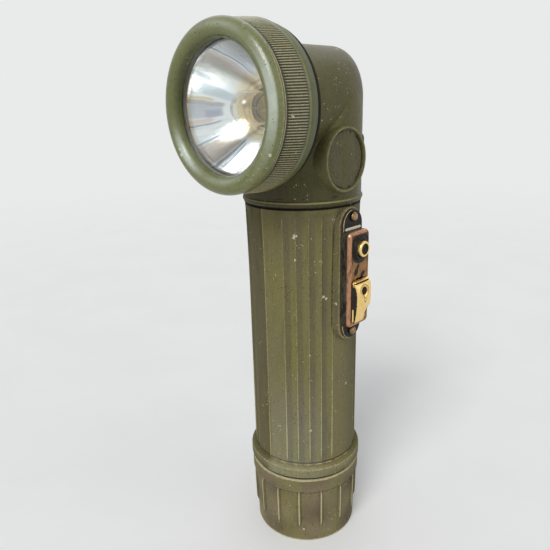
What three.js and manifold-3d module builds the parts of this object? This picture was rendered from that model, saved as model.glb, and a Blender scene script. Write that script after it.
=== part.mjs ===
// A right-angle flashlight for two large round cells, standing on its tail cap.
// Millimetres, +Z up the battery tube. The origin is the middle of the tail cap's base.
// The lens looks along -Y, the switch is on the +X side and the belt clip is at the back, on +Y.
import * as THREE from 'three';
import { mergeVertices } from 'three/addons/utils/BufferGeometryUtils.js';
import Module from 'manifold-3d';

const wasm = await Module();
wasm.setup();

// Fits and shop values
const SEAT_GAP = 0.3;
const OVERRUN = 1;
const WELD = 0.0001;

// Smoothness, as steps in a full turn
const FINE_STEPS = 36;
const STEPS = 24;
const COARSE_STEPS = 12;

// Cells
const CELL_RADIUS = 16.6;
const CELL_LENGTH = 61.3;
const CELL_NUB_RADIUS = 4.7;
const CELL_NUB_HEIGHT = 1.5;
const CELL_EDGE = 0.9;
const CELL_PLAY = 1;

// Tail cap
const CAP_HEIGHT = 29.9;
const CAP_WALL = 1.3;
const CAP_DRAFT = 0.55;
const CAP_BAND_PROUD = 1.1;
const CAP_BAND_HEIGHT = 5.7;
const CAP_BAND_EDGE = 0.5;
const CAP_EDGE = 0.8;
const CAP_FLOOR = 3;
const CAP_STEP_HEIGHT = 9;
const CAP_STEP_WIDTH = 2.9;
const CAP_RIB_COUNT = 15;
const CAP_RIB_WIDTH = 1.1;
const CAP_RIB_PROUD = 0.8;
const CAP_RIB_FOOT = 6.5;
const CAP_RIB_RUNOUT = 1;
const CAP_FIRST_RIB_DEG = -56;

// Tail spring and contact
const SPRING_WIRE = 1.2;
const SPRING_FOOT_INSET = 3.4;
const SPRING_TOP_RADIUS = 7;
const SPRING_TURNS = 3.5;
const SPRING_STEPS_PER_TURN = 8;
const CONTACT_SHEET = 0.4;

// Seam between the tail cap and the tube, and the gasket in it
const SEAM = 1.1;
const TAIL_GASKET_INSET = 0.4;

// Battery tube
const SPIGOT_WALL = 1.4;
const TUBE_SHOULDER = 1.35;
const TUBE_FLARE = 0.55;
const TUBE_FLARE_HEIGHT = 34;
const TUBE_FLARE_POWER = 1.5;
const BEAD_PROUD = 1.71;
const BEAD_HEIGHT = 6.5;
const BEAD_ROUND = 1.6;
const TOP_SPIGOT_LENGTH = 6.2;
const LEDGE_WIDTH = 2.8;
const LEDGE_THICKNESS = 2.1;
const GROOVE_DEPTH = 0.7;
const GROOVE_WIDTH = 6.4;

// Flutes of the battery tube, in each quarter
const FLUTES_PER_QUARTER = 4;
const FLUTE_PITCH_DEG = 12.5;
const FIRST_FLUTE_DEG = 18.5;
const FLUTE_DEPTH = 0.5;
const FLUTE_FACETS = 3;
const PANEL_FACETS = 2;
const FLUTE_FOOT = 1.6;
const FLUTE_TOP = 2.2;
const FLUTE_RUNOUT = 1.6;

// Head, an elbow of two round tubes
const LENS_AXIS_RISE = 32.1;
const HEAD_SOCKET_WALL = 1.8;
const NECK_INSET = 1.1;
const HEAD_WALL = 2.2;
const HEAD_CORNER = 8.5;
const HEAD_CREASE = 0.8;
const CORNER_FACETS = 5;
const INNER_CORNER_FACETS = 2;
const COLLAR_PROUD = 0.5;
const COLLAR_HEIGHT = 2.9;
const COLLAR_ROUND = 1.2;
const FLANGE_INSET = 0.5;
const FLANGE_THICKNESS = 1.1;
const FLANGE_FILLET = 2.5;
const NECK_SPIGOT_PROUD = 2.2;
const NECK_SPIGOT_WALL = 1.2;

// Round raised badge on the head
const BADGE_DROP = 16.9;
const BADGE_SETBACK = 2.2;
const BADGE_RADIUS = 10.9;
const BADGE_RIM_WIDTH = 1.3;
const BADGE_FACE_INSET = 0.35;
const BADGE_RIM_PROUD = 0.8;
const BADGE_RIM_ROUND = 0.4;
const BADGE_ROOT_DEPTH = 6.75;

// Bezel ring, by distance in front of the tube's axis
const RING_REAR = 21.7;
const RING_BAND_LENGTH = 4.2;
const RING_BAND_WALL = 3.3;
const GRIP_LENGTH = 9.9;
const GRIP_REAR_WALL = 4.1;
const GRIP_FRONT_WALL = 3.1;
const GRIP_CREASE = 0.5;
const LIP_SETBACK = 0.9;
const LIP_PROUD = 0.31;
const LIP_ROUND = 3;
const LIP_FACETS = 6;
const HEAD_GASKET_WIDTH = 1.65;

// Lens, its gasket and the reflector
const LENS_SETBACK = 0.3;
const LENS_THICKNESS = 2;
const LENS_PLAY = 0.5;
const LENS_EDGE = 0.3;
const LENS_GASKET_WIDTH = 1.8;
const LENS_GASKET_THICKNESS = 0.7;
const REFLECTOR_SHEET = 0.8;
const REFLECTOR_MOUTH = 19.8;
const REFLECTOR_FOCUS = 5.9;
const REFLECTOR_HOLE = 6.2;
const REFLECTOR_SLEEVE = 3;
const REFLECTOR_FACETS = 5;

// Bulb
const BULB_GLASS_RADIUS = 5.5;
const BULB_GLASS_LENGTH = 14;
const BULB_FLANGE_RADIUS = 6.75;
const BULB_FLANGE_THICKNESS = 0.8;
const BULB_BARREL_RADIUS = 4.7;
const BULB_BARREL_LENGTH = 11;
const BULB_TIP_RADIUS = 2.4;
const BULB_TIP_LENGTH = 1.6;
const RETAINER_WALL = 0.6;
const RETAINER_LENGTH = 5;

// Insulating disc and the centre contact above the cells
const CARRIER_PLAY = 0.4;
const CARRIER_THICKNESS = 2.6;
const CARRIER_SLOT_WIDTH = 9;
const CARRIER_SLOT_DEPTH = 3.4;
const CARRIER_SLOT_OFFSET = 8.6;
const CENTRE_STRIP_WIDTH = 7;
const CENTRE_STRIP_BEND = 1.4;

// Conductor strips between the tail, the switch and the lamp
const STRIP_WIDTH = 5;
const STRIP_JOG = 4;
const STRIP_BEND = 0.9;
const LAMP_ARM_REACH = 25.4;
const LAMP_ARM_INSET = 0.9;

// Switch: boss on the tube, pressed cover, rivets
const BOSS_PROUD = 1.45;
const BOSS_HALF_WIDTH = 7.2;
const BOSS_DROP = 0.3;
const BOSS_MARGIN = 0.8;
const BOSS_EDGE = 0.5;
const PLATE_SHEET = 0.7;
const PLATE_DEPTH = 3.8;
const PLATE_ABOVE_BUTTON = 6;
const PLATE_BELOW_SLIDER = 1.7;
const PLATE_HALF_WIDTH = 5.8;
const PLATE_ROUND = 1.2;
const PLATE_CORNER = 1.9;
const PLATE_TOP_TAB_HEIGHT = 7.1;
const PLATE_FOOT_TAB_HEIGHT = 5.7;
const PLATE_TAB_INSET = 0.5;
const TOP_RIVET_REACH = 4.6;
const FOOT_RIVET_REACH = 2.8;
const RIVET_HEAD_RADIUS = 1.95;
const RIVET_HEAD_HEIGHT = 1.2;
const RIVET_SHANK_RADIUS = 1.2;
const RIVET_PLAY = 0.3;
const WINDOW_HALF_WIDTH = 3.2;
const WINDOW_RISE = 3;
const WINDOW_DROP = 0.8;

// Push button
const BUTTON_RADIUS = 2.75;
const BUTTON_PROUD = 2.1;
const BUTTON_DISH_RADIUS = 1.9;
const BUTTON_DISH_DEPTH = 0.7;
const BUTTON_EDGE = 0.5;
const BUTTON_TRAVEL = 1.5;
const BUTTON_FLANGE_RADIUS = 3.7;
const BUTTON_FLANGE_THICKNESS = 0.6;
const BUTTON_PIN_RADIUS = 1;
const BUTTON_COLLAR_WIDTH = 1.05;
const BUTTON_COLLAR_PROUD = 0.7;
const BUTTON_POCKET_RADIUS = 3.4;
const BUTTON_POCKET_DEPTH = 1.7;
const BUTTON_SPRING_RADIUS = 2.7;
const BUTTON_SPRING_WIRE = 0.5;
const BUTTON_SPRING_TURNS = 3;

// Slide switch
const SLIDER_LENGTH = 15.6;
const SLIDER_CLEARANCE = 0.7;
const SLIDER_HALF_WIDTH = 4.6;
const SLIDER_SHEET = 0.6;
const SLIDER_CORNER = 1.2;
const SLIDER_HUMP_HALF_WIDTH = 3.7;
const SLIDER_HUMP_PROUD = 2.7;
const SLIDER_HUMP_EDGE = 0.6;
const SLIDER_DIMPLE_SHARE = 0.8;
// Where the hump's outline lies up the slide, and how far it stands out there.
const SLIDER_HEIGHT_SHARES = [0.03, 0.16, 0.3, 0.62, 0.86, 0.9];
const SLIDER_PROUD_SHARES = [0, 0.42, 0.68, 1, 0.62, 0];
const SLIDER_HUMP_FACETS = 7;
const SLIDER_DIMPLE_RADIUS = 1.1;
const SLIDER_DIMPLE_LENGTH = 3;
const SLIDER_DIMPLE_DEPTH = 0.9;
const SLIDER_TRAVEL = 6;
const SLIDER_STEM_LENGTH = 3.2;
const SLIDER_STEM_HALF_WIDTH = 1.7;
const SHOE_LENGTH = 9;
const SHOE_HALF_WIDTH = 3.6;
const SHOE_SHEET = 0.6;
const SHOE_LAP = 2;
const TONGUE_GAP = 2.5;

// Belt clip and its pad at the back of the head
const CLIP_WIDTH = 12.7;
const CLIP_SHEET = 0.9;
const CLIP_TOP_RISE = 1.8;
const CLIP_PAD_PROUD = 0.4;
const CLIP_PAD_MARGIN = 1;
const CLIP_PAD_DROP = 9.7;
const CLIP_HUMP_LENGTH = 11.7;
const CLIP_HUMP_PROUD = 6.4;
const CLIP_HUMP_ROUND = 2.2;
const CLIP_LEAF_GAP = 1.9;
const CLIP_LEAF_LENGTH = 53.8;
const CLIP_TIP_LENGTH = 6;
const CLIP_TIP_FLARE = 2.2;
const CLIP_RIVET_DROPS = [6.7, 1.2];
const CLIP_RIVET_RADIUS = 1.7;

// Heights and places that follow from the sizes above
const BORE_RADIUS = CELL_RADIUS + CELL_PLAY;
const SPIGOT_RADIUS = BORE_RADIUS + SPIGOT_WALL;
const SOCKET_RADIUS = SPIGOT_RADIUS + SEAT_GAP;
const CAP_PANEL_RADIUS = SOCKET_RADIUS + CAP_WALL;
const CAP_FOOT_RADIUS = CAP_PANEL_RADIUS - CAP_DRAFT;
const CAP_BAND_RADIUS = CAP_PANEL_RADIUS + CAP_BAND_PROUD;
const CAP_CHAMBER_RADIUS = SOCKET_RADIUS - CAP_STEP_WIDTH;
const SPRING_FOOT_RADIUS = CAP_CHAMBER_RADIUS - SPRING_FOOT_INSET;
const TAIL_GASKET_RADIUS = CAP_BAND_RADIUS - TAIL_GASKET_INSET;
const TUBE_RADIUS = SPIGOT_RADIUS + TUBE_SHOULDER;
const BEAD_RADIUS = TUBE_RADIUS + BEAD_PROUD;
const LEDGE_RADIUS = BORE_RADIUS - LEDGE_WIDTH;
const GROOVE_FLOOR = BORE_RADIUS + GROOVE_DEPTH;
const CARRIER_RADIUS = BORE_RADIUS - CARRIER_PLAY;
const CUP_FLANGE_TOP = CAP_STEP_HEIGHT + SEAT_GAP + CONTACT_SHEET;
const STRIP_FOOT_HEIGHT = CUP_FLANGE_TOP + SEAT_GAP;
const TUBE_FOOT = STRIP_FOOT_HEIGHT + CONTACT_SHEET + SEAT_GAP;
const CELL_FOOT = TUBE_FOOT + SEAT_GAP;
const CELL_STACK_TOP = CELL_FOOT + 2 * CELL_LENGTH + SEAT_GAP;
const BEAD_FOOT = CAP_HEIGHT + SEAM;
const LEDGE_FOOT = CELL_STACK_TOP - CELL_NUB_HEIGHT + SEAT_GAP;
const CARRIER_FOOT = LEDGE_FOOT + LEDGE_THICKNESS + SEAT_GAP;
const COLLAR_FOOT = CARRIER_FOOT;
const TUBE_TOP = COLLAR_FOOT - SEAT_GAP;
const TOP_SPIGOT_END = COLLAR_FOOT + TOP_SPIGOT_LENGTH;
const LENS_AXIS_HEIGHT = COLLAR_FOOT + LENS_AXIS_RISE;
const HEAD_RADIUS = SOCKET_RADIUS + HEAD_SOCKET_WALL;
const COLLAR_RADIUS = HEAD_RADIUS + COLLAR_PROUD;
const NECK_RADIUS = HEAD_RADIUS - NECK_INSET;
const NECK_SPIGOT_RADIUS = NECK_RADIUS + NECK_SPIGOT_PROUD;
const BADGE_HEIGHT = LENS_AXIS_HEIGHT - BADGE_DROP;
const BADGE_FACE = HEAD_RADIUS - BADGE_FACE_INSET;
const BADGE_ROOT = BADGE_FACE - BADGE_ROOT_DEPTH;
const RING_THREAD_RADIUS = NECK_SPIGOT_RADIUS + SEAT_GAP;
const RING_BAND_RADIUS = RING_THREAD_RADIUS + RING_BAND_WALL;
const GRIP_REAR = RING_REAR + RING_BAND_LENGTH;
const GRIP_FRONT = GRIP_REAR + GRIP_LENGTH;
const GRIP_REAR_RADIUS = RING_THREAD_RADIUS + GRIP_REAR_WALL;
const GRIP_FRONT_RADIUS = RING_THREAD_RADIUS + GRIP_FRONT_WALL;
const LIP_CENTRE = GRIP_FRONT + LIP_SETBACK;
const LIP_CENTRE_RADIUS = GRIP_FRONT_RADIUS + LIP_PROUD - LIP_ROUND;
const HEAD_GASKET_RADIUS = RING_THREAD_RADIUS + HEAD_GASKET_WIDTH;
const FLANGE_RADIUS = RING_BAND_RADIUS - FLANGE_INSET;
const FLANGE_FRONT = RING_REAR - SEAT_GAP * 2;
const LENS_FRONT = GRIP_FRONT - LENS_SETBACK;
const LENS_RADIUS = RING_THREAD_RADIUS - LENS_PLAY;
const LENS_REAR = LENS_FRONT - LENS_THICKNESS;
const RIM_FRONT = LENS_REAR - LENS_GASKET_THICKNESS - 2 * SEAT_GAP;
const NECK_FRONT = RIM_FRONT - REFLECTOR_SHEET - SEAT_GAP;
const REFLECTOR_DEPTH = REFLECTOR_MOUTH ** 2 / (4 * REFLECTOR_FOCUS);
const REFLECTOR_VERTEX = RIM_FRONT - REFLECTOR_DEPTH;
const HOLE_DEPTH = REFLECTOR_HOLE ** 2 / (4 * REFLECTOR_FOCUS);
const SLEEVE_STEP = REFLECTOR_VERTEX + HOLE_DEPTH - REFLECTOR_SHEET;
const SLEEVE_REAR = SLEEVE_STEP - REFLECTOR_SLEEVE;
const SLEEVE_RADIUS = BULB_FLANGE_RADIUS + SEAT_GAP;
const BULB_FLANGE_FRONT = SLEEVE_STEP - SEAT_GAP;
const BULB_BARREL_REAR = BULB_FLANGE_FRONT - BULB_FLANGE_THICKNESS - BULB_BARREL_LENGTH;
const BULB_TIP = BULB_BARREL_REAR - BULB_TIP_LENGTH;
const BOSS_FACE = TUBE_RADIUS + BOSS_PROUD;
const BOSS_TOP = TUBE_TOP - BOSS_DROP;
const PLATE_TOP = BOSS_TOP - BOSS_MARGIN;
const PLATE_BOX_TOP = PLATE_TOP - PLATE_TOP_TAB_HEIGHT;
const BUTTON_HEIGHT = PLATE_BOX_TOP - PLATE_ABOVE_BUTTON;
const BUTTON_COLLAR_RADIUS = BUTTON_RADIUS + SEAT_GAP + BUTTON_COLLAR_WIDTH;
const BUTTON_POCKET_FLOOR = BOSS_FACE - BUTTON_POCKET_DEPTH;
const SLIDER_HIGHEST = BUTTON_HEIGHT - BUTTON_COLLAR_RADIUS - SLIDER_CLEARANCE;
const SLIDER_FOOT = SLIDER_HIGHEST - SLIDER_TRAVEL - SLIDER_LENGTH;
const PLATE_BOX_FOOT = SLIDER_FOOT - PLATE_BELOW_SLIDER;
const PLATE_FOOT = PLATE_BOX_FOOT - PLATE_FOOT_TAB_HEIGHT;
const BOSS_FOOT = PLATE_FOOT - BOSS_MARGIN;
const TOP_RIVET_HEIGHT = PLATE_BOX_TOP + TOP_RIVET_REACH;
const FOOT_RIVET_HEIGHT = PLATE_BOX_FOOT - FOOT_RIVET_REACH;
const WINDOW_FOOT = SLIDER_FOOT + WINDOW_RISE;
const WINDOW_TOP = BUTTON_HEIGHT - BUTTON_POCKET_RADIUS - WINDOW_DROP;
const STRIP_PLACE = GROOVE_FLOOR - SEAT_GAP - CONTACT_SHEET / 2;
const LAMP_ARM_PLACE = STRIP_PLACE - LAMP_ARM_INSET;
const TONGUE_PLACE = BOSS_FACE - CONTACT_SHEET / 2;
const PLATE_BACK = BOSS_FACE + SEAT_GAP;
const PLATE_FRONT = PLATE_BACK + PLATE_DEPTH;
const BODY_TONGUE_TOP = SLIDER_FOOT + SHOE_LENGTH + SHOE_LAP;
const SHOE_BACK = TONGUE_PLACE + CONTACT_SHEET / 2 + SEAT_GAP;
const SLIDER_BACK = PLATE_FRONT + SEAT_GAP;
const STEM_FOOT = SLIDER_FOOT + SLIDER_TRAVEL + SEAT_GAP * 2;
const CLIP_TOP = LENS_AXIS_HEIGHT + CLIP_TOP_RISE;
const CLIP_PAD_FACE = HEAD_RADIUS + CLIP_PAD_PROUD;
const CLIP_PAD_FOOT = LENS_AXIS_HEIGHT - CLIP_PAD_DROP;
const CLIP_HUMP_FOOT = CLIP_PAD_FOOT - CLIP_HUMP_LENGTH;
const CLIP_TIP = CLIP_HUMP_FOOT - CLIP_LEAF_LENGTH;
const CLIP_RIVET_HEIGHTS = CLIP_RIVET_DROPS.map((drop) => LENS_AXIS_HEIGHT - drop);

const FINISHES = {
  head: { color: 0x4a4a2a, roughness: 0.55, metalness: 0 },
  tube: { color: 0x55513a, roughness: 0.6, metalness: 0 },
  cap: { color: 0x5f573d, roughness: 0.65, metalness: 0 },
  bezel: { color: 0x4d5230, roughness: 0.45, metalness: 0 },
  rubber: { color: 0x2a2729, roughness: 0.85, metalness: 0 },
  lens: { color: 0xe8ecee, roughness: 0.05, metalness: 0, transparent: true, opacity: 0.3 },
  mirror: { color: 0xd9d8d2, roughness: 0.12, metalness: 1 },
  brass: { color: 0xb8965a, roughness: 0.35, metalness: 1 },
  copper: { color: 0x8a5a40, roughness: 0.45, metalness: 0.8 },
  spring: { color: 0x9a9a98, roughness: 0.35, metalness: 1 },
  black: { color: 0x17171a, roughness: 0.5, metalness: 0.4 },
  fibre: { color: 0x6b4a2c, roughness: 0.8, metalness: 0 },
  cell: { color: 0x3a3d44, roughness: 0.5, metalness: 0.3 },
};

const object = new THREE.Group();

/** A closed geometry as a solid that can be cut and joined. Flips one that is inside out. */
function solidOf(geometry) {
  const bare = geometry.clone();
  bare.deleteAttribute('normal');
  bare.deleteAttribute('uv');
  const merged = mergeVertices(bare, WELD);
  const source = merged.index.array;
  const points = merged.attributes.position.array;
  const corners = [];
  let volume = 0;
  for (let i = 0; i < source.length; i += 3) {
    const [a, b, c] = [source[i], source[i + 1], source[i + 2]];
    if (a === b || b === c || c === a) continue;
    corners.push(a, b, c);
    const [p, q, r] = [a, b, c].map((k) => new THREE.Vector3().fromArray(points, 3 * k));
    volume += p.dot(q.cross(r));
  }
  if (volume < 0) corners.reverse();
  const mesh = new wasm.Mesh({
    numProp: 3,
    vertProperties: new Float32Array(points),
    triVerts: new Uint32Array(corners),
  });
  return new wasm.Manifold(mesh);
}

/** The triangles of a solid as a geometry. */
function geometryOf(solid) {
  const mesh = solid.getMesh();
  const geometry = new THREE.BufferGeometry();
  geometry.setAttribute('position', new THREE.BufferAttribute(mesh.vertProperties, 3));
  geometry.setIndex(new THREE.BufferAttribute(mesh.triVerts, 1));
  geometry.computeVertexNormals();
  return geometry;
}

/** Adds a named piece to the object. */
function piece(name, solid, finish) {
  const mesh = new THREE.Mesh(geometryOf(solid), new THREE.MeshStandardMaterial(FINISHES[finish]));
  mesh.name = name;
  object.add(mesh);
}

/** A body turned about +Z from an outline of [radius, height] points. */
function revolve(outline, steps = STEPS) {
  const points = outline.map(([radius, height]) => new THREE.Vector2(radius, height));
  const onAxis = outline[0][0] === 0 && outline.at(-1)[0] === 0;
  if (!onAxis) points.push(points[0].clone());
  return new THREE.LatheGeometry(points, steps).rotateX(Math.PI / 2);
}

/** A ring or tube of square section about +Z. */
function ring(inner, outer, low, high, steps = STEPS) {
  return revolve([[inner, low], [outer, low], [outer, high], [inner, high]], steps);
}

/** A plain round bar about +Z. */
function bar(radius, low, high, steps = STEPS) {
  return revolve([[0, low], [radius, low], [radius, high], [0, high]], steps);
}

/** A closed body through rings of points that run the same way round, with a fan at each end. */
function loft(rings) {
  const count = rings[0].length;
  const points = rings.flat();
  const triangles = [];
  for (let level = 0; level + 1 < rings.length; level += 1) {
    for (let i = 0; i < count; i += 1) {
      const next = (i + 1) % count;
      const [a, b] = [level * count + i, level * count + next];
      triangles.push(a, b, b + count, a, b + count, a + count);
    }
  }
  for (const [level, flip] of [[0, true], [rings.length - 1, false]]) {
    const middle = new THREE.Vector3();
    rings[level].forEach((point) => middle.addScaledVector(point, 1 / count));
    points.push(middle);
    for (let i = 0; i < count; i += 1) {
      const [a, b] = [level * count + i, level * count + ((i + 1) % count)];
      triangles.push(points.length - 1, ...(flip ? [b, a] : [a, b]));
    }
  }
  const geometry = new THREE.BufferGeometry().setFromPoints(points);
  geometry.setIndex(triangles);
  return geometry;
}

/** A flat shape given a thickness from one height to another. */
function slab(shape, low, high, curveSegments = 6) {
  const geometry = new THREE.ExtrudeGeometry(shape, {
    depth: high - low,
    bevelEnabled: false,
    curveSegments,
  });
  return geometry.translate(0, 0, low);
}

/** The points of a rectangle with rounded corners, from its lowest corner to its highest. */
function rectanglePoints(left, foot, right, top, corner, facets = 4) {
  const corners = [
    [right - corner, foot + corner, -90],
    [right - corner, top - corner, 0],
    [left + corner, top - corner, 90],
    [left + corner, foot + corner, 180],
  ];
  return corners.flatMap(([x, y, start]) => arc(x, y, corner, start, start + 90, facets));
}

function roundedRectangle(left, foot, right, top, corner, facets = 4) {
  const points = rectanglePoints(left, foot, right, top, corner, facets);
  return new THREE.Shape(points.map(([x, y]) => new THREE.Vector2(x, y)));
}

/** A slab of a rounded rectangle whose top edge is rounded over. */
function softSlab(left, foot, right, top, corner, low, high, round) {
  const ringAt = (inset, height) => rectanglePoints(
    left + inset, foot + inset, right - inset, top - inset, corner - inset)
    .map(([x, y]) => new THREE.Vector3(x, y, height));
  const edge = arc(round, high - round, round, 180, 90, 3);
  return loft([ringAt(0, low), ...edge.map(([inset, height]) => ringAt(inset, height))]);
}

/** A path of points with each inner corner rounded to one radius. */
function roundedPath(points, radius, facets = 5) {
  const path = [points[0]];
  for (let i = 1; i + 1 < points.length; i += 1) {
    const corner = points[i];
    const before = points[i - 1].clone().sub(corner);
    const after = points[i + 1].clone().sub(corner);
    const half = before.angleTo(after) / 2;
    const reach = Math.min(radius / Math.tan(half), before.length() / 2, after.length() / 2);
    const start = corner.clone().addScaledVector(before.normalize(), reach);
    const end = corner.clone().addScaledVector(after.normalize(), reach);
    const curve = new THREE.QuadraticBezierCurve(start, corner, end);
    path.push(...curve.getPoints(facets));
  }
  path.push(points.at(-1));
  return path;
}

/** The outline of a bent sheet, from the line along its middle. */
function sheetOutline(line, thickness) {
  const sides = [[], []];
  line.forEach((point, i) => {
    const before = line[Math.max(i - 1, 0)];
    const after = line[Math.min(i + 1, line.length - 1)];
    const into = point.clone().sub(before).normalize();
    const out = after.clone().sub(point).normalize();
    const along = into.add(out).normalize();
    const across = new THREE.Vector2(-along.y, along.x);
    sides[0].push(point.clone().addScaledVector(across, thickness / 2));
    sides[1].push(point.clone().addScaledVector(across, -thickness / 2));
  });
  return new THREE.Shape([...sides[0], ...sides[1].reverse()]);
}

/** A round wire wound along a helix about +Z whose radius may change on the way up. */
function coil(wire, footRadius, topRadius, low, high, turns) {
  const points = [];
  const steps = Math.round(turns * SPRING_STEPS_PER_TURN);
  for (let i = 0; i <= steps; i += 1) {
    const share = i / steps;
    const angle = share * turns * 2 * Math.PI;
    const radius = THREE.MathUtils.lerp(footRadius, topRadius, share);
    const height = THREE.MathUtils.lerp(low + wire / 2, high - wire / 2, share);
    points.push(new THREE.Vector3(radius * Math.cos(angle), radius * Math.sin(angle), height));
  }
  const section = new THREE.Shape().absarc(0, 0, wire / 2, 0, 2 * Math.PI, false);
  return new THREE.ExtrudeGeometry(section, {
    extrudePath: new THREE.CatmullRomCurve3(points),
    steps,
    curveSegments: 3,
    bevelEnabled: false,
  });
}

/** Turns a body from the +Z axis to the lens axis: its height becomes its distance in front. */
function alongLens(geometry) {
  return geometry.rotateX(Math.PI / 2).translate(0, 0, LENS_AXIS_HEIGHT);
}

/** Turns a flat body so that it faces +X: its first axis is along +Y, its second is up. */
function onSwitchSide(geometry) {
  const across = new THREE.Vector3(0, 1, 0);
  const up = new THREE.Vector3(0, 0, 1);
  const out = new THREE.Vector3(1, 0, 0);
  return geometry.applyMatrix4(new THREE.Matrix4().makeBasis(across, up, out));
}

/** Turns a flat body so that it faces +Y: its first axis is along -X, its second is up. */
function onBack(geometry) {
  const across = new THREE.Vector3(-1, 0, 0);
  const up = new THREE.Vector3(0, 0, 1);
  const out = new THREE.Vector3(0, 1, 0);
  return geometry.applyMatrix4(new THREE.Matrix4().makeBasis(across, up, out));
}

/** A sheet bent in the plane of X and Z, centred across Y. */
function stripInXZ(line, thickness, width) {
  const geometry = slab(sheetOutline(line, thickness), -width / 2, width / 2);
  return geometry.rotateX(Math.PI / 2);
}

/** A sheet bent in the plane of Y and Z, centred across X. */
function stripInYZ(line, thickness, width) {
  return onSwitchSide(slab(sheetOutline(line, thickness), -width / 2, width / 2));
}

/** A point of a strip's middle line. */
function at(across, height) {
  return new THREE.Vector2(across, height);
}

/** Points of a quarter circle from one angle to another, as [radius, height]. */
function arc(centreRadius, centreHeight, radius, startDeg, endDeg, facets) {
  const points = [];
  for (let i = 0; i <= facets; i += 1) {
    const angle = THREE.MathUtils.degToRad(THREE.MathUtils.lerp(startDeg, endDeg, i / facets));
    const [x, y] = [radius * Math.cos(angle), radius * Math.sin(angle)];
    points.push([centreRadius + x, centreHeight + y]);
  }
  return points;
}

/** A vector at an angle round +Z. */
function polar(radius, angle, height) {
  return new THREE.Vector3(radius * Math.cos(angle), radius * Math.sin(angle), height);
}

// Tail cap: a ribbed cup that screws on to the tube.
function tailCap() {
  const bandFoot = CAP_HEIGHT - CAP_BAND_HEIGHT;
  const panelRadius = (height) => THREE.MathUtils.mapLinear(
    height, 0, bandFoot, CAP_FOOT_RADIUS, CAP_PANEL_RADIUS);
  const shell = solidOf(revolve([
    [0, 0],
    ...arc(CAP_FOOT_RADIUS - CAP_EDGE, CAP_EDGE, CAP_EDGE, -90, 0, 2),
    [CAP_PANEL_RADIUS, bandFoot],
    [CAP_BAND_RADIUS, bandFoot + CAP_BAND_EDGE],
    [CAP_BAND_RADIUS, CAP_HEIGHT - CAP_BAND_EDGE],
    [CAP_BAND_RADIUS - CAP_BAND_EDGE, CAP_HEIGHT],
    [0, CAP_HEIGHT],
  ], FINE_STEPS));
  const ribTop = bandFoot + CAP_BAND_EDGE;
  const profile = new THREE.Shape([
    at(CAP_CHAMBER_RADIUS, CAP_RIB_FOOT),
    at(panelRadius(CAP_RIB_FOOT), CAP_RIB_FOOT),
    at(panelRadius(CAP_RIB_FOOT) + CAP_RIB_PROUD, CAP_RIB_FOOT + CAP_RIB_RUNOUT),
    at(CAP_PANEL_RADIUS + CAP_RIB_PROUD, ribTop),
    at(CAP_CHAMBER_RADIUS, ribTop),
  ]);
  let solid = shell;
  for (let i = 0; i < CAP_RIB_COUNT; i += 1) {
    const angle = THREE.MathUtils.degToRad(CAP_FIRST_RIB_DEG) + (i / CAP_RIB_COUNT) * 2 * Math.PI;
    const rib = slab(profile, -CAP_RIB_WIDTH / 2, CAP_RIB_WIDTH / 2).rotateX(Math.PI / 2);
    solid = solid.add(solidOf(rib.rotateZ(angle)));
  }
  const hollow = revolve([
    [0, CAP_FLOOR],
    [CAP_CHAMBER_RADIUS, CAP_FLOOR],
    [CAP_CHAMBER_RADIUS, CAP_STEP_HEIGHT],
    [SOCKET_RADIUS, CAP_STEP_HEIGHT],
    [SOCKET_RADIUS, CAP_HEIGHT + OVERRUN],
    [0, CAP_HEIGHT + OVERRUN],
  ], FINE_STEPS);
  return solid.subtract(solidOf(hollow));
}

// Contact cup in the tail cap: it carries the spring and meets the conductor strip's foot.
function tailContact() {
  const foot = CAP_FLOOR + SEAT_GAP;
  const outer = CAP_CHAMBER_RADIUS - SEAT_GAP;
  return solidOf(revolve([
    [0, foot],
    [outer, foot],
    [outer, CAP_STEP_HEIGHT + SEAT_GAP],
    [SOCKET_RADIUS - SEAT_GAP, CAP_STEP_HEIGHT + SEAT_GAP],
    [SOCKET_RADIUS - SEAT_GAP, CUP_FLANGE_TOP],
    [outer - CONTACT_SHEET, CUP_FLANGE_TOP],
    [outer - CONTACT_SHEET, foot + CONTACT_SHEET],
    [0, foot + CONTACT_SHEET],
  ]));
}

// Battery tube: a fluted tube with a bead at its foot and a spigot at each end.
function fluteAngles() {
  const angles = [];
  const addSpan = (from, to, facets, fluted) => {
    for (let i = 0; i < facets; i += 1) {
      const share = i / facets;
      const depth = fluted ? 4 * share * (1 - share) : 0;
      angles.push([THREE.MathUtils.degToRad(from + (to - from) * share), depth]);
    }
  };
  for (let quarter = 0; quarter < 4; quarter += 1) {
    const start = quarter * 90;
    const mirrored = quarter % 2 === 1;
    const span = FLUTES_PER_QUARTER * FLUTE_PITCH_DEG;
    const first = mirrored ? 90 - FIRST_FLUTE_DEG - span : FIRST_FLUTE_DEG;
    addSpan(start, start + first, PANEL_FACETS, false);
    for (let i = 0; i < FLUTES_PER_QUARTER; i += 1) {
      const from = start + first + i * FLUTE_PITCH_DEG;
      addSpan(from, from + FLUTE_PITCH_DEG, FLUTE_FACETS, true);
    }
    addSpan(start + first + span, start + 90, PANEL_FACETS, false);
  }
  return angles;
}

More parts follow.
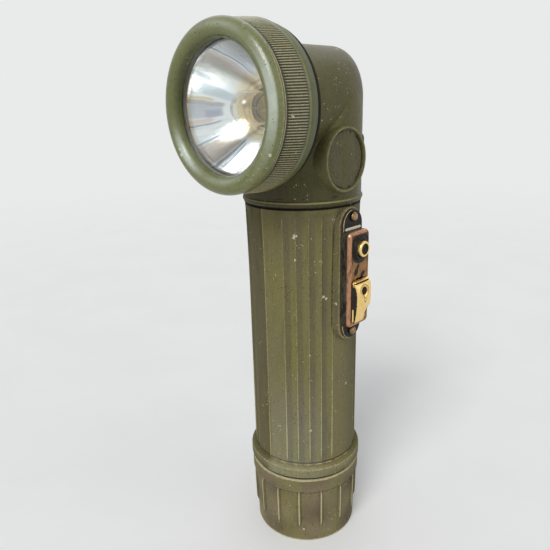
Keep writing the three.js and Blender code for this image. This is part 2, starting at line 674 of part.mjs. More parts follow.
function batteryTube() {
  const angles = fluteAngles();
  const beadTop = BEAD_FOOT + BEAD_HEIGHT;
  const flareFoot = TUBE_TOP - TUBE_FLARE_HEIGHT;
  const radiusAt = (height) => {
    const share = THREE.MathUtils.clamp((height - flareFoot) / TUBE_FLARE_HEIGHT, 0, 1);
    return TUBE_RADIUS + TUBE_FLARE * share ** TUBE_FLARE_POWER;
  };
  const level = (height, flute) => angles.map(([angle, depth]) => polar(
    radiusAt(height) - flute * depth * FLUTE_DEPTH, angle, height));
  const fluteFoot = beadTop + FLUTE_FOOT;
  const fluteTop = TUBE_TOP - FLUTE_TOP;
  const body = loft([
    level(beadTop - BEAD_ROUND, 0),
    level(fluteFoot, 0),
    level(fluteFoot + FLUTE_RUNOUT, 1),
    level(flareFoot + TUBE_FLARE_HEIGHT / 3, 1),
    level(fluteTop - FLUTE_RUNOUT, 1),
    level(fluteTop, 0),
    level(TUBE_TOP, 0),
  ]);
  const beadRootRadius = TUBE_RADIUS - BEAD_ROUND;
  const bead = revolve([
    [0, BEAD_FOOT],
    [BEAD_RADIUS - BEAD_ROUND / 4, BEAD_FOOT],
    [BEAD_RADIUS, BEAD_FOOT + BEAD_ROUND / 4],
    ...arc(BEAD_RADIUS - BEAD_ROUND, beadTop - BEAD_ROUND, BEAD_ROUND, 0, 90, 3),
    [beadRootRadius, beadTop],
    [0, beadTop],
  ], FINE_STEPS);
  const core = bar(SPIGOT_RADIUS, TUBE_FOOT, TOP_SPIGOT_END, FINE_STEPS);
  const bore = revolve([
    [0, TUBE_FOOT - OVERRUN],
    [BORE_RADIUS, TUBE_FOOT - OVERRUN],
    [BORE_RADIUS, LEDGE_FOOT],
    [LEDGE_RADIUS, LEDGE_FOOT],
    [LEDGE_RADIUS, LEDGE_FOOT + LEDGE_THICKNESS],
    [BORE_RADIUS, LEDGE_FOOT + LEDGE_THICKNESS],
    [BORE_RADIUS, TOP_SPIGOT_END + OVERRUN],
    [0, TOP_SPIGOT_END + OVERRUN],
  ]);
  return solidOf(body)
    .add(solidOf(bead))
    .add(solidOf(core))
    .add(solidOf(switchBoss()))
    .subtract(solidOf(bore))
    .subtract(solidOf(stripGroove()))
    .subtract(solidOf(switchWindow()))
    .subtract(solidOf(buttonPocket()))
    .subtract(solidOf(buttonPinHole()))
    .subtract(rivetHoles(GROOVE_FLOOR - OVERRUN, BOSS_FACE + OVERRUN));
}

// The raised pad that carries the switch, with its rounded ends.
function switchBoss() {
  return onSwitchSide(softSlab(
    -BOSS_HALF_WIDTH, BOSS_FOOT, BOSS_HALF_WIDTH, BOSS_TOP, BOSS_HALF_WIDTH - BOSS_EDGE,
    SPIGOT_RADIUS, BOSS_FACE, BOSS_EDGE));
}

// The groove inside the tube that the conductor strips lie in.
function stripGroove() {
  const width = GROOVE_WIDTH / 2;
  const outline = roundedRectangle(
    -width, TUBE_FOOT - OVERRUN, width, TOP_SPIGOT_END + OVERRUN, SEAT_GAP);
  return onSwitchSide(slab(outline, LEDGE_RADIUS, GROOVE_FLOOR, 1));
}

function switchWindow() {
  const outline = roundedRectangle(
    -WINDOW_HALF_WIDTH, WINDOW_FOOT, WINDOW_HALF_WIDTH, WINDOW_TOP, SEAT_GAP);
  return onSwitchSide(slab(outline, LEDGE_RADIUS, BOSS_FACE + OVERRUN, 1));
}

function atButton(geometry) {
  return onSwitchSide(geometry.translate(0, BUTTON_HEIGHT, 0));
}

function buttonPocket() {
  const top = BOSS_FACE + OVERRUN;
  return atButton(bar(BUTTON_POCKET_RADIUS, BUTTON_POCKET_FLOOR, top, COARSE_STEPS));
}

function buttonPinHole() {
  const radius = BUTTON_PIN_RADIUS + SEAT_GAP;
  return atButton(bar(radius, LEDGE_RADIUS, BOSS_FACE, COARSE_STEPS));
}

// Holes for the two switch rivets, between two distances from the tube's axis.
function rivetHoles(inner, outer) {
  const radius = RIVET_SHANK_RADIUS + RIVET_PLAY;
  const hole = (height, from) => solidOf(onSwitchSide(
    bar(radius, from, outer, COARSE_STEPS).translate(0, height, 0)));
  const blind = GROOVE_FLOOR + CONTACT_SHEET;
  return hole(FOOT_RIVET_HEIGHT, inner).add(hole(TOP_RIVET_HEIGHT, Math.max(inner, blind)));
}

// Head: an elbow whose rear corner is rounded and whose front corner is a crease.
function elbow(uprightRadius, neckRadius, corner, foot, reach, steps, facets) {
  const rings = [];
  const station = (share, place) => {
    const points = [];
    for (let i = 0; i < steps; i += 1) {
      const angle = -(i / steps) * 2 * Math.PI;
      const back = uprightRadius * Math.cos(angle);
      const top = LENS_AXIS_HEIGHT + neckRadius * Math.cos(angle);
      const round = THREE.MathUtils.clamp(back, Math.min(HEAD_CREASE, corner), corner);
      const x = THREE.MathUtils.lerp(uprightRadius, neckRadius, share) * Math.sin(angle);
      const [y, z] = place(back, top, round);
      points.push(new THREE.Vector3(x, y, z));
    }
    rings.push(points);
  };
  station(0, (back) => [back, foot]);
  for (let i = 0; i <= facets; i += 1) {
    const turn = (i / facets) * (Math.PI / 2);
    station(i / facets, (back, top, round) => [
      back - round + round * Math.cos(turn),
      top - round + round * Math.sin(turn),
    ]);
  }
  station(1, (back, top) => [-reach, top]);
  return loft(rings);
}

function headHousing() {
  const flangeRear = FLANGE_FRONT - FLANGE_THICKNESS;
  const outer = elbow(
    HEAD_RADIUS, NECK_RADIUS, HEAD_CORNER, COLLAR_FOOT, flangeRear, FINE_STEPS, CORNER_FACETS);
  const inner = elbow(
    HEAD_RADIUS - HEAD_WALL, NECK_RADIUS - HEAD_WALL, HEAD_CORNER - HEAD_WALL,
    COLLAR_FOOT - OVERRUN, FLANGE_FRONT + OVERRUN, STEPS, INNER_CORNER_FACETS);
  const collarTop = COLLAR_FOOT + COLLAR_HEIGHT;
  const collar = revolve([
    [0, COLLAR_FOOT],
    [HEAD_RADIUS - COLLAR_ROUND / 2, COLLAR_FOOT],
    ...arc(COLLAR_RADIUS - COLLAR_ROUND, COLLAR_FOOT + COLLAR_HEIGHT / 2, COLLAR_ROUND, -60, 60, 3),
    [HEAD_RADIUS - COLLAR_ROUND / 2, collarTop],
    [0, collarTop],
  ], FINE_STEPS);
  const flange = revolve([
    [0, flangeRear - FLANGE_FILLET],
    [NECK_RADIUS - SEAT_GAP, flangeRear - FLANGE_FILLET],
    ...arc(NECK_RADIUS + FLANGE_FILLET, flangeRear - FLANGE_FILLET, FLANGE_FILLET, 180, 90, 3),
    [FLANGE_RADIUS, flangeRear],
    [FLANGE_RADIUS, FLANGE_FRONT],
    [NECK_SPIGOT_RADIUS, FLANGE_FRONT],
    [NECK_SPIGOT_RADIUS, NECK_FRONT],
    [0, NECK_FRONT],
  ], FINE_STEPS);
  const spigotBore = bar(
    NECK_SPIGOT_RADIUS - NECK_SPIGOT_WALL, FLANGE_FRONT, NECK_FRONT + OVERRUN, FINE_STEPS);
  const socket = bar(
    SOCKET_RADIUS, COLLAR_FOOT - OVERRUN, TOP_SPIGOT_END + SEAT_GAP, FINE_STEPS);
  return solidOf(outer)
    .add(solidOf(collar))
    .add(solidOf(alongLens(flange)))
    .add(solidOf(badge()))
    .add(solidOf(clipPad()))
    .subtract(solidOf(inner))
    .subtract(solidOf(alongLens(spigotBore)))
    .subtract(solidOf(socket))
    .subtract(clipRivetHoles());
}

// The round badge with its raised rim, bare inside.
function badge() {
  const rimInner = BADGE_RADIUS - BADGE_RIM_WIDTH;
  const rimFace = BADGE_FACE + BADGE_RIM_PROUD;
  const disc = revolve([
    [0, BADGE_ROOT],
    [BADGE_RADIUS, BADGE_ROOT],
    [BADGE_RADIUS, rimFace - BADGE_RIM_ROUND],
    [BADGE_RADIUS - BADGE_RIM_ROUND, rimFace],
    [rimInner + BADGE_RIM_ROUND, rimFace],
    [rimInner, rimFace - BADGE_RIM_ROUND],
    [rimInner, BADGE_FACE],
    [0, BADGE_FACE],
  ], STEPS);
  return onSwitchSide(disc.translate(-BADGE_SETBACK, BADGE_HEIGHT, 0));
}

// The flat pad that the belt clip is riveted to.
function clipPad() {
  const half = CLIP_WIDTH / 2 + CLIP_PAD_MARGIN;
  const pad = roundedRectangle(
    -half, CLIP_PAD_FOOT, half, CLIP_TOP + CLIP_PAD_MARGIN, CLIP_PAD_MARGIN * 2);
  return onBack(slab(pad, HEAD_RADIUS - HEAD_WALL, CLIP_PAD_FACE, 3));
}

function clipRivetHoles() {
  const radius = RIVET_SHANK_RADIUS + RIVET_PLAY;
  const holes = CLIP_RIVET_HEIGHTS.map((height) => solidOf(onBack(
    bar(radius, HEAD_RADIUS - HEAD_WALL - OVERRUN, CLIP_PAD_FACE + OVERRUN, COARSE_STEPS)
      .translate(0, height, 0))));
  return holes[0].add(holes[1]);
}

// Bezel ring: a rounded lip, a tapered grip band and a plain rear band, open right through.
function bezelRing() {
  const body = revolve([
    [0, RING_REAR],
    [RING_BAND_RADIUS, RING_REAR],
    [GRIP_REAR_RADIUS, GRIP_REAR],
    [GRIP_FRONT_RADIUS, GRIP_FRONT - GRIP_CREASE],
    [GRIP_FRONT_RADIUS - GRIP_CREASE, GRIP_FRONT],
    ...arc(LIP_CENTRE_RADIUS, LIP_CENTRE, LIP_ROUND, -10, 180, LIP_FACETS),
    [0, LIP_CENTRE],
  ], FINE_STEPS);
  const gasketSeat = SEAT_GAP * 4;
  const hollow = revolve([
    [0, RING_REAR - OVERRUN],
    [HEAD_GASKET_RADIUS + SEAT_GAP, RING_REAR - OVERRUN],
    [HEAD_GASKET_RADIUS + SEAT_GAP, RING_REAR + gasketSeat],
    [RING_THREAD_RADIUS, RING_REAR + gasketSeat],
    [RING_THREAD_RADIUS, LENS_FRONT + SEAT_GAP],
    [LIP_CENTRE_RADIUS - LIP_ROUND + SEAT_GAP, LENS_FRONT + SEAT_GAP],
    [LIP_CENTRE_RADIUS - LIP_ROUND, LIP_CENTRE],
    [LIP_CENTRE_RADIUS - LIP_ROUND, LIP_CENTRE + LIP_ROUND + OVERRUN],
    [0, LIP_CENTRE + LIP_ROUND + OVERRUN],
  ], FINE_STEPS);
  return solidOf(body).subtract(solidOf(hollow));
}

// The rubber ring that seals the bezel ring to the head's flange.
function headGasket() {
  const front = RING_REAR + SEAT_GAP * 3;
  return alongLens(ring(
    RING_THREAD_RADIUS, HEAD_GASKET_RADIUS, FLANGE_FRONT + SEAT_GAP, front, FINE_STEPS));
}

function lens() {
  return alongLens(revolve([
    [0, LENS_REAR],
    [LENS_RADIUS, LENS_REAR],
    [LENS_RADIUS, LENS_FRONT - LENS_EDGE],
    [LENS_RADIUS - LENS_EDGE, LENS_FRONT],
    [0, LENS_FRONT],
  ], FINE_STEPS));
}

function lensGasket() {
  const inner = LENS_RADIUS - LENS_GASKET_WIDTH;
  const rear = RIM_FRONT + SEAT_GAP;
  return alongLens(ring(inner, LENS_RADIUS, rear, rear + LENS_GASKET_THICKNESS));
}

// Reflector: a parabolic bowl with a rim at its mouth and a short sleeve for the bulb.
function reflector() {
  const outline = [[LENS_RADIUS, RIM_FRONT]];
  const bowl = (radius) => REFLECTOR_VERTEX + radius ** 2 / (4 * REFLECTOR_FOCUS);
  for (let i = 0; i <= REFLECTOR_FACETS; i += 1) {
    const radius = THREE.MathUtils.lerp(REFLECTOR_MOUTH, REFLECTOR_HOLE, i / REFLECTOR_FACETS);
    outline.push([radius, bowl(radius)]);
  }
  const skin = SLEEVE_RADIUS + REFLECTOR_SHEET;
  const skinSlope = skin / (2 * REFLECTOR_FOCUS);
  outline.push(
    [REFLECTOR_HOLE, SLEEVE_STEP],
    [SLEEVE_RADIUS, SLEEVE_STEP],
    [SLEEVE_RADIUS, SLEEVE_REAR],
    [skin, SLEEVE_REAR],
    [skin, bowl(skin) - REFLECTOR_SHEET * Math.hypot(1, skinSlope)],
  );
  for (let i = REFLECTOR_FACETS; i >= 0; i -= 1) {
    const radius = THREE.MathUtils.lerp(REFLECTOR_MOUTH, REFLECTOR_HOLE, i / REFLECTOR_FACETS);
    const slope = radius / (2 * REFLECTOR_FOCUS);
    const length = Math.hypot(1, slope);
    const outer = [
      radius + (slope / length) * REFLECTOR_SHEET,
      bowl(radius) - REFLECTOR_SHEET / length,
    ];
    if (outer[0] > skin && outer[1] < RIM_FRONT - REFLECTOR_SHEET) outline.push(outer);
  }
  const rimRoot = REFLECTOR_MOUTH + REFLECTOR_SHEET;
  outline.push([rimRoot, RIM_FRONT - REFLECTOR_SHEET], [LENS_RADIUS, RIM_FRONT - REFLECTOR_SHEET]);
  return alongLens(revolve(outline));
}

function bulbGlass() {
  const rear = BULB_FLANGE_FRONT + SEAT_GAP;
  const domeCentre = rear + BULB_GLASS_LENGTH - BULB_GLASS_RADIUS;
  return alongLens(revolve([
    [0, rear],
    [BULB_BARREL_RADIUS, rear],
    [BULB_GLASS_RADIUS, rear + BULB_GLASS_RADIUS / 2],
    ...arc(0, domeCentre, BULB_GLASS_RADIUS, 0, 90, 6).slice(0, -1),
    [0, domeCentre + BULB_GLASS_RADIUS],
  ], COARSE_STEPS));
}

function bulbBase() {
  const flangeRear = BULB_FLANGE_FRONT - BULB_FLANGE_THICKNESS;
  return alongLens(revolve([
    [0, BULB_TIP],
    [BULB_TIP_RADIUS / 2, BULB_TIP],
    [BULB_TIP_RADIUS, BULB_TIP + BULB_TIP_LENGTH / 2],
    [BULB_TIP_RADIUS, BULB_BARREL_REAR],
    [BULB_BARREL_RADIUS, BULB_BARREL_REAR],
    [BULB_BARREL_RADIUS, flangeRear],
    [BULB_FLANGE_RADIUS, flangeRear],
    [BULB_FLANGE_RADIUS, BULB_FLANGE_FRONT],
    [0, BULB_FLANGE_FRONT],
  ], COARSE_STEPS));
}

// Sprung collar that grips the reflector's sleeve and holds the bulb's flange against it.
function bulbRetainer() {
  const grip = SLEEVE_RADIUS + REFLECTOR_SHEET + SEAT_GAP;
  const floor = SLEEVE_REAR - SEAT_GAP;
  const inner = BULB_BARREL_RADIUS + SEAT_GAP;
  return alongLens(revolve([
    [inner, floor - RETAINER_WALL],
    [grip + RETAINER_WALL, floor - RETAINER_WALL],
    [grip + RETAINER_WALL, floor + RETAINER_LENGTH / 2],
    [grip, floor + RETAINER_LENGTH / 2],
    [grip, floor],
    [inner + RETAINER_WALL, floor],
    [inner + RETAINER_WALL, BULB_FLANGE_FRONT - BULB_FLANGE_THICKNESS - SEAT_GAP],
    [inner, BULB_FLANGE_FRONT - BULB_FLANGE_THICKNESS - SEAT_GAP],
  ]));
}

function cell(foot) {
  const shoulder = foot + CELL_LENGTH - CELL_NUB_HEIGHT;
  return revolve([
    [0, foot],
    [CELL_RADIUS - CELL_EDGE, foot],
    [CELL_RADIUS, foot + CELL_EDGE],
    [CELL_RADIUS, shoulder - CELL_EDGE],
    [CELL_RADIUS - CELL_EDGE, shoulder],
    [CELL_NUB_RADIUS, shoulder],
    [CELL_NUB_RADIUS, foot + CELL_LENGTH],
    [0, foot + CELL_LENGTH],
  ]);
}

// Insulating disc above the cells, on the tube's ledge, slotted for the centre contact.
function contactCarrier() {
  const disc = bar(CARRIER_RADIUS, CARRIER_FOOT, CARRIER_FOOT + CARRIER_THICKNESS);
  const half = CARRIER_SLOT_WIDTH / 2;
  const slot = slab(
    roundedRectangle(
      -half, CARRIER_SLOT_OFFSET - CARRIER_SLOT_DEPTH / 2,
      half, CARRIER_SLOT_OFFSET + CARRIER_SLOT_DEPTH / 2, SEAT_GAP),
    CARRIER_FOOT - OVERRUN, CARRIER_FOOT + CARRIER_THICKNESS + OVERRUN, 1);
  return solidOf(disc).subtract(solidOf(slot));
}

// Centre contact: from the top cell's nub, up through the carrier, to the bulb's tip.
function centreContact() {
  const foot = CELL_STACK_TOP + SEAT_GAP + CONTACT_SHEET / 2;
  const tongue = -(BULB_TIP - SEAT_GAP - CONTACT_SHEET / 2);
  const line = roundedPath([
    at(-CELL_NUB_RADIUS, foot),
    at(CARRIER_SLOT_OFFSET, foot),
    at(CARRIER_SLOT_OFFSET, LENS_AXIS_HEIGHT - CENTRE_STRIP_WIDTH),
    at(tongue, LENS_AXIS_HEIGHT - BULB_TIP_RADIUS),
    at(tongue, LENS_AXIS_HEIGHT + BULB_TIP_RADIUS),
  ], CENTRE_STRIP_BEND);
  return stripInYZ(line, CONTACT_SHEET, CENTRE_STRIP_WIDTH);
}

// Strip from the tail contact up to the switch's lower rivet and its window.
function bodyStrip() {
  const foot = STRIP_FOOT_HEIGHT + CONTACT_SHEET / 2;
  const line = roundedPath([
    at(SPIGOT_RADIUS - SEAT_GAP, foot),
    at(STRIP_PLACE, foot),
    at(STRIP_PLACE, WINDOW_FOOT + STRIP_BEND),
    at(TONGUE_PLACE, WINDOW_FOOT + STRIP_BEND + STRIP_JOG / 2),
    at(TONGUE_PLACE, BODY_TONGUE_TOP),
  ], STRIP_BEND);
  const hole = onSwitchSide(
    bar(RIVET_SHANK_RADIUS + RIVET_PLAY, LEDGE_RADIUS, BOSS_FACE, COARSE_STEPS)
      .translate(0, FOOT_RIVET_HEIGHT, 0));
  return solidOf(stripInXZ(line, CONTACT_SHEET, STRIP_WIDTH)).subtract(solidOf(hole));
}

// Strip from the switch's window up the tube and forward to the reflector's back.
function lampStrip() {
  const line = roundedPath([
    at(TONGUE_PLACE, BODY_TONGUE_TOP + TONGUE_GAP),
    at(TONGUE_PLACE, WINDOW_TOP - STRIP_BEND - STRIP_JOG / 2),
    at(STRIP_PLACE, WINDOW_TOP - STRIP_BEND),
    at(STRIP_PLACE, TOP_SPIGOT_END + STRIP_JOG),
    at(LAMP_ARM_PLACE, TOP_SPIGOT_END + 2 * STRIP_JOG),
    at(LAMP_ARM_PLACE, LENS_AXIS_HEIGHT - STRIP_WIDTH),
  ], STRIP_BEND);
  const half = STRIP_WIDTH / 2;
  const arm = roundedRectangle(
    -LAMP_ARM_REACH, LENS_AXIS_HEIGHT - half, half, LENS_AXIS_HEIGHT + half, STRIP_BEND);
  const leg = roundedRectangle(
    -half, LENS_AXIS_HEIGHT - 2 * STRIP_WIDTH, half, LENS_AXIS_HEIGHT + half, STRIP_BEND);
  const inner = LAMP_ARM_PLACE - CONTACT_SHEET / 2;
  const outer = LAMP_ARM_PLACE + CONTACT_SHEET / 2;
  return solidOf(stripInXZ(line, CONTACT_SHEET, STRIP_WIDTH))
    .add(solidOf(onSwitchSide(slab(arm, inner, outer, 2))))
    .add(solidOf(onSwitchSide(slab(leg, inner, outer, 2))));
}

// Switch cover: one pressed sheet, a box with a rounded tab at each end.
function switchPlate() {
  const half = PLATE_HALF_WIDTH;
  const tabHalf = half - PLATE_TAB_INSET;
  const tabs = roundedRectangle(-tabHalf, PLATE_FOOT, tabHalf, PLATE_TOP, tabHalf - SEAT_GAP);
  const box = softSlab(
    -half, PLATE_BOX_FOOT, half, PLATE_BOX_TOP, PLATE_CORNER, PLATE_BACK, PLATE_FRONT,
    PLATE_ROUND);
  const inner = half - PLATE_SHEET;
  const cavity = roundedRectangle(
    -inner, PLATE_BOX_FOOT + PLATE_SHEET, inner, PLATE_BOX_TOP - PLATE_SHEET,
    PLATE_CORNER - PLATE_SHEET);
  const slotHalf = SLIDER_STEM_HALF_WIDTH + SEAT_GAP;
  const slot = roundedRectangle(
    -slotHalf, STEM_FOOT - SEAT_GAP,
    slotHalf, STEM_FOOT + SLIDER_STEM_LENGTH + SLIDER_TRAVEL + SEAT_GAP, SEAT_GAP);
  const front = PLATE_FRONT + OVERRUN;
  return solidOf(onSwitchSide(slab(tabs, PLATE_BACK, PLATE_BACK + PLATE_SHEET)))
    .add(solidOf(onSwitchSide(box)))
    .add(solidOf(atButton(
      bar(BUTTON_COLLAR_RADIUS, PLATE_FRONT - PLATE_SHEET, PLATE_FRONT + BUTTON_COLLAR_PROUD))))
    .subtract(solidOf(onSwitchSide(
      slab(cavity, PLATE_BACK - OVERRUN, PLATE_FRONT - PLATE_SHEET, 3))))
    .subtract(solidOf(atButton(
      bar(BUTTON_RADIUS + SEAT_GAP, PLATE_BACK, front))))
    .subtract(solidOf(onSwitchSide(slab(slot, PLATE_BACK, front, 1))))
    .subtract(rivetHoles(PLATE_BACK - OVERRUN, front));
}

// A domed rivet that points out of the switch side.
function switchRivet(height, inner, clenched) {
  const seat = PLATE_BACK + PLATE_SHEET + SEAT_GAP;
  const tail = clenched
    ? [[0, inner], [RIVET_HEAD_RADIUS, inner], [RIVET_HEAD_RADIUS, inner + CONTACT_SHEET],
      [RIVET_SHANK_RADIUS, inner + CONTACT_SHEET]]
    : [[0, inner], [RIVET_SHANK_RADIUS, inner]];
  const radius = RIVET_HEAD_RADIUS;
  const rise = RIVET_HEAD_HEIGHT;
  const dome = arc(0, 0, 1, 0, 90, 4).map(([x, y]) => [radius * x, seat + rise * y]);
  dome[dome.length - 1][0] = 0;
  const outline = [...tail, [RIVET_SHANK_RADIUS, seat], ...dome];
  return onSwitchSide(revolve(outline, COARSE_STEPS).translate(0, height, 0));
}

// Push button: a dished cap, the flange that keeps it in and the pin that makes the contact.
function pushButton() {
  const flangeFront = PLATE_FRONT - PLATE_SHEET - SEAT_GAP;
  const flangeBack = flangeFront - BUTTON_FLANGE_THICKNESS;
  const face = PLATE_FRONT + BUTTON_PROUD;
  const pinEnd = STRIP_PLACE + CONTACT_SHEET / 2 + SEAT_GAP + BUTTON_TRAVEL;
  return atButton(revolve([
    [0, pinEnd],
    [BUTTON_PIN_RADIUS, pinEnd],
    [BUTTON_PIN_RADIUS, flangeBack],
    [BUTTON_FLANGE_RADIUS, flangeBack],
    [BUTTON_FLANGE_RADIUS, flangeFront],
    [BUTTON_RADIUS, flangeFront],
    [BUTTON_RADIUS, face - BUTTON_EDGE],
    [BUTTON_RADIUS - BUTTON_EDGE, face],
    [BUTTON_DISH_RADIUS, face],
    [BUTTON_DISH_RADIUS - BUTTON_EDGE, face - BUTTON_DISH_DEPTH],
    [0, face - BUTTON_DISH_DEPTH],
  ], COARSE_STEPS));
}

function buttonSpring() {
  const low = BUTTON_POCKET_FLOOR + SEAT_GAP;
  const flangeFront = PLATE_FRONT - PLATE_SHEET - SEAT_GAP;
  const high = flangeFront - BUTTON_FLANGE_THICKNESS - SEAT_GAP;
  return atButton(coil(
    BUTTON_SPRING_WIRE, BUTTON_SPRING_RADIUS, BUTTON_SPRING_RADIUS, low, high,
    BUTTON_SPRING_TURNS));
}

// Slide switch: a pressed thumb piece with a flange, a hump, a dimple and a scoop at its foot.
function slideSwitch() {
  const top = SLIDER_FOOT + SLIDER_LENGTH;
  const face = SLIDER_BACK + SLIDER_SHEET;
  const crown = SLIDER_BACK + SLIDER_HUMP_PROUD;
  const flange = roundedRectangle(
    -SLIDER_HALF_WIDTH, SLIDER_FOOT, SLIDER_HALF_WIDTH, top, SLIDER_CORNER);
  const points = SLIDER_HEIGHT_SHARES.map((share, i) => at(
    SLIDER_FOOT + share * SLIDER_LENGTH,
    face - SLIDER_SHEET / 2 + SLIDER_PROUD_SHARES[i] * (crown - face + SLIDER_SHEET / 2)));
  const spline = new THREE.SplineCurve(points.slice(1, -1));
  const side = new THREE.Shape([points[0], ...spline.getPoints(SLIDER_HUMP_FACETS), points.at(-1)]);
  const half = SLIDER_HUMP_HALF_WIDTH - SLIDER_HUMP_EDGE;
  const hump = new THREE.ExtrudeGeometry(side, {
    depth: 2 * half,
    bevelEnabled: true,
    bevelThickness: SLIDER_HUMP_EDGE,
    bevelSize: SLIDER_HUMP_EDGE,
    bevelOffset: -SLIDER_HUMP_EDGE,
    bevelSegments: 2,
  }).translate(0, 0, -half);
  const upright = new THREE.Matrix4().makeBasis(
    new THREE.Vector3(0, 0, 1), new THREE.Vector3(1, 0, 0), new THREE.Vector3(0, 1, 0));
  hump.applyMatrix4(upright);
  const dimpleTop = SLIDER_FOOT + SLIDER_DIMPLE_SHARE * SLIDER_LENGTH;
  const dimple = roundedRectangle(
    -SLIDER_DIMPLE_RADIUS, dimpleTop - SLIDER_DIMPLE_LENGTH, SLIDER_DIMPLE_RADIUS, dimpleTop,
    SLIDER_DIMPLE_RADIUS - WELD);
  const stem = roundedRectangle(
    -SLIDER_STEM_HALF_WIDTH, STEM_FOOT,
    SLIDER_STEM_HALF_WIDTH, STEM_FOOT + SLIDER_STEM_LENGTH, SEAT_GAP);
  const shoeFront = SHOE_BACK + SHOE_SHEET;
  return solidOf(onSwitchSide(slab(flange, SLIDER_BACK, face, 4)))
    .add(solidOf(hump))
    .subtract(solidOf(onSwitchSide(
      slab(dimple, crown - SLIDER_DIMPLE_DEPTH - SLIDER_SHEET / 2, crown + OVERRUN, 4))))
    .add(solidOf(onSwitchSide(slab(stem, shoeFront + SEAT_GAP, face, 1))));
}

// The shoe inside the cover that bridges the two strips when the slide is up.
function sliderContact() {
  const foot = STEM_FOOT + SLIDER_STEM_LENGTH / 2 - SHOE_LENGTH / 2;
  const shoe = roundedRectangle(
    -SHOE_HALF_WIDTH, foot, SHOE_HALF_WIDTH, foot + SHOE_LENGTH, SHOE_SHEET);
  return onSwitchSide(slab(shoe, SHOE_BACK, SHOE_BACK + SHOE_SHEET, 2));
}

// Belt clip: one spring strip, riveted at its top, humped out and then down beside the tube.
function beltClip() {
  const seat = CLIP_PAD_FACE + SEAT_GAP + CLIP_SHEET / 2;
  const humpPlace = seat + CLIP_HUMP_PROUD;
  const humpTop = CLIP_PAD_FOOT - SEAT_GAP;
  const leaf = TUBE_RADIUS + CLIP_LEAF_GAP + CLIP_SHEET / 2;
  const line = roundedPath([
    at(seat, CLIP_TOP),
    at(seat, humpTop),
    at(humpPlace, humpTop - CLIP_HUMP_ROUND / 2),
    at(humpPlace, CLIP_HUMP_FOOT + CLIP_HUMP_ROUND),
    at(leaf, CLIP_HUMP_FOOT),
    at(leaf, CLIP_TIP + CLIP_TIP_LENGTH),
    at(leaf + CLIP_TIP_FLARE, CLIP_TIP),
  ], CLIP_HUMP_ROUND, 5);
  const strip = solidOf(stripInYZ(line, CLIP_SHEET, CLIP_WIDTH));
  const holes = CLIP_RIVET_HEIGHTS.map((height) => solidOf(onBack(
    bar(RIVET_SHANK_RADIUS + RIVET_PLAY, HEAD_RADIUS, seat + CLIP_SHEET, COARSE_STEPS)
      .translate(0, height, 0))));
  return strip.subtract(holes[0]).subtract(holes[1]);
}

function clipRivet(height) {
  const seat = CLIP_PAD_FACE + SEAT_GAP + CLIP_SHEET + SEAT_GAP;
  const inner = HEAD_RADIUS - HEAD_WALL - 2 * SEAT_GAP;
  return onBack(revolve([
    [0, inner - RIVET_SHANK_RADIUS / 2],
    [CLIP_RIVET_RADIUS, inner - RIVET_SHANK_RADIUS / 2],
    [CLIP_RIVET_RADIUS, inner],
    [RIVET_SHANK_RADIUS, inner],
    [RIVET_SHANK_RADIUS, seat],
    [CLIP_RIVET_RADIUS, seat],
    [CLIP_RIVET_RADIUS * Math.SQRT1_2, seat + RIVET_SHANK_RADIUS / 2],
    [0, seat + RIVET_SHANK_RADIUS * Math.SQRT1_2],
  ], COARSE_STEPS).translate(0, height, 0));
}

// The object, from the foot up
const gasketInner = SPIGOT_RADIUS + SEAT_GAP;
const tailGasket = ring(
  gasketInner, TAIL_GASKET_RADIUS, CAP_HEIGHT + SEAT_GAP, BEAD_FOOT - SEAT_GAP, FINE_STEPS);
const springFoot = CAP_FLOOR + 2 * SEAT_GAP + CONTACT_SHEET;
const tailSpring = coil(
  SPRING_WIRE, SPRING_FOOT_RADIUS, SPRING_TOP_RADIUS, springFoot, CELL_FOOT - SEAT_GAP,
  SPRING_TURNS);
const footRivetEnd = STRIP_PLACE - CONTACT_SHEET / 2 - SEAT_GAP - CONTACT_SHEET;
const topRivetEnd = GROOVE_FLOOR + CONTACT_SHEET + SEAT_GAP;

piece('tail_cap', tailCap(), 'cap');
piece('tail_contact', tailContact(), 'brass');
piece('tail_spring', solidOf(tailSpring), 'spring');
piece('tail_gasket', solidOf(tailGasket), 'rubber');
piece('battery_tube', batteryTube(), 'tube');
piece('lower_cell', solidOf(cell(CELL_FOOT)), 'cell');
piece('upper_cell', solidOf(cell(CELL_FOOT + CELL_LENGTH + SEAT_GAP)), 'cell');
piece('contact_carrier', contactCarrier(), 'fibre');
piece('centre_contact', solidOf(centreContact()), 'brass');
piece('body_strip', bodyStrip(), 'brass');
piece('lamp_strip', lampStrip(), 'brass');
piece('switch_plate', switchPlate(), 'copper');
piece('switch_rivet_upper', solidOf(switchRivet(TOP_RIVET_HEIGHT, topRivetEnd, false)), 'brass');
piece('switch_rivet_lower', solidOf(switchRivet(FOOT_RIVET_HEIGHT, footRivetEnd, true)), 'brass');
piece('push_button', solidOf(pushButton()), 'brass');
piece('button_spring', solidOf(buttonSpring()), 'spring');
piece('slide_switch', slideSwitch(), 'brass');
piece('slider_contact', solidOf(sliderContact()), 'brass');
piece('head_housing', headHousing(), 'head');
piece('head_gasket', solidOf(headGasket()), 'rubber');
piece('bezel_ring', solidOf(alongLens(geometryOf(bezelRing()))), 'bezel');
piece('lens', solidOf(lens()), 'lens');
piece('lens_gasket', solidOf(lensGasket()), 'rubber');
piece('reflector', solidOf(reflector()), 'mirror');
piece('bulb_glass', solidOf(bulbGlass()), 'lens');
piece('bulb_base', solidOf(bulbBase()), 'brass');
piece('bulb_retainer', solidOf(bulbRetainer()), 'spring');
piece('belt_clip', beltClip(), 'black');
piece('clip_rivet_lower', solidOf(clipRivet(CLIP_RIVET_HEIGHTS[0])), 'black');
piece('clip_rivet_upper', solidOf(clipRivet(CLIP_RIVET_HEIGHTS[1])), 'black');

export default object;
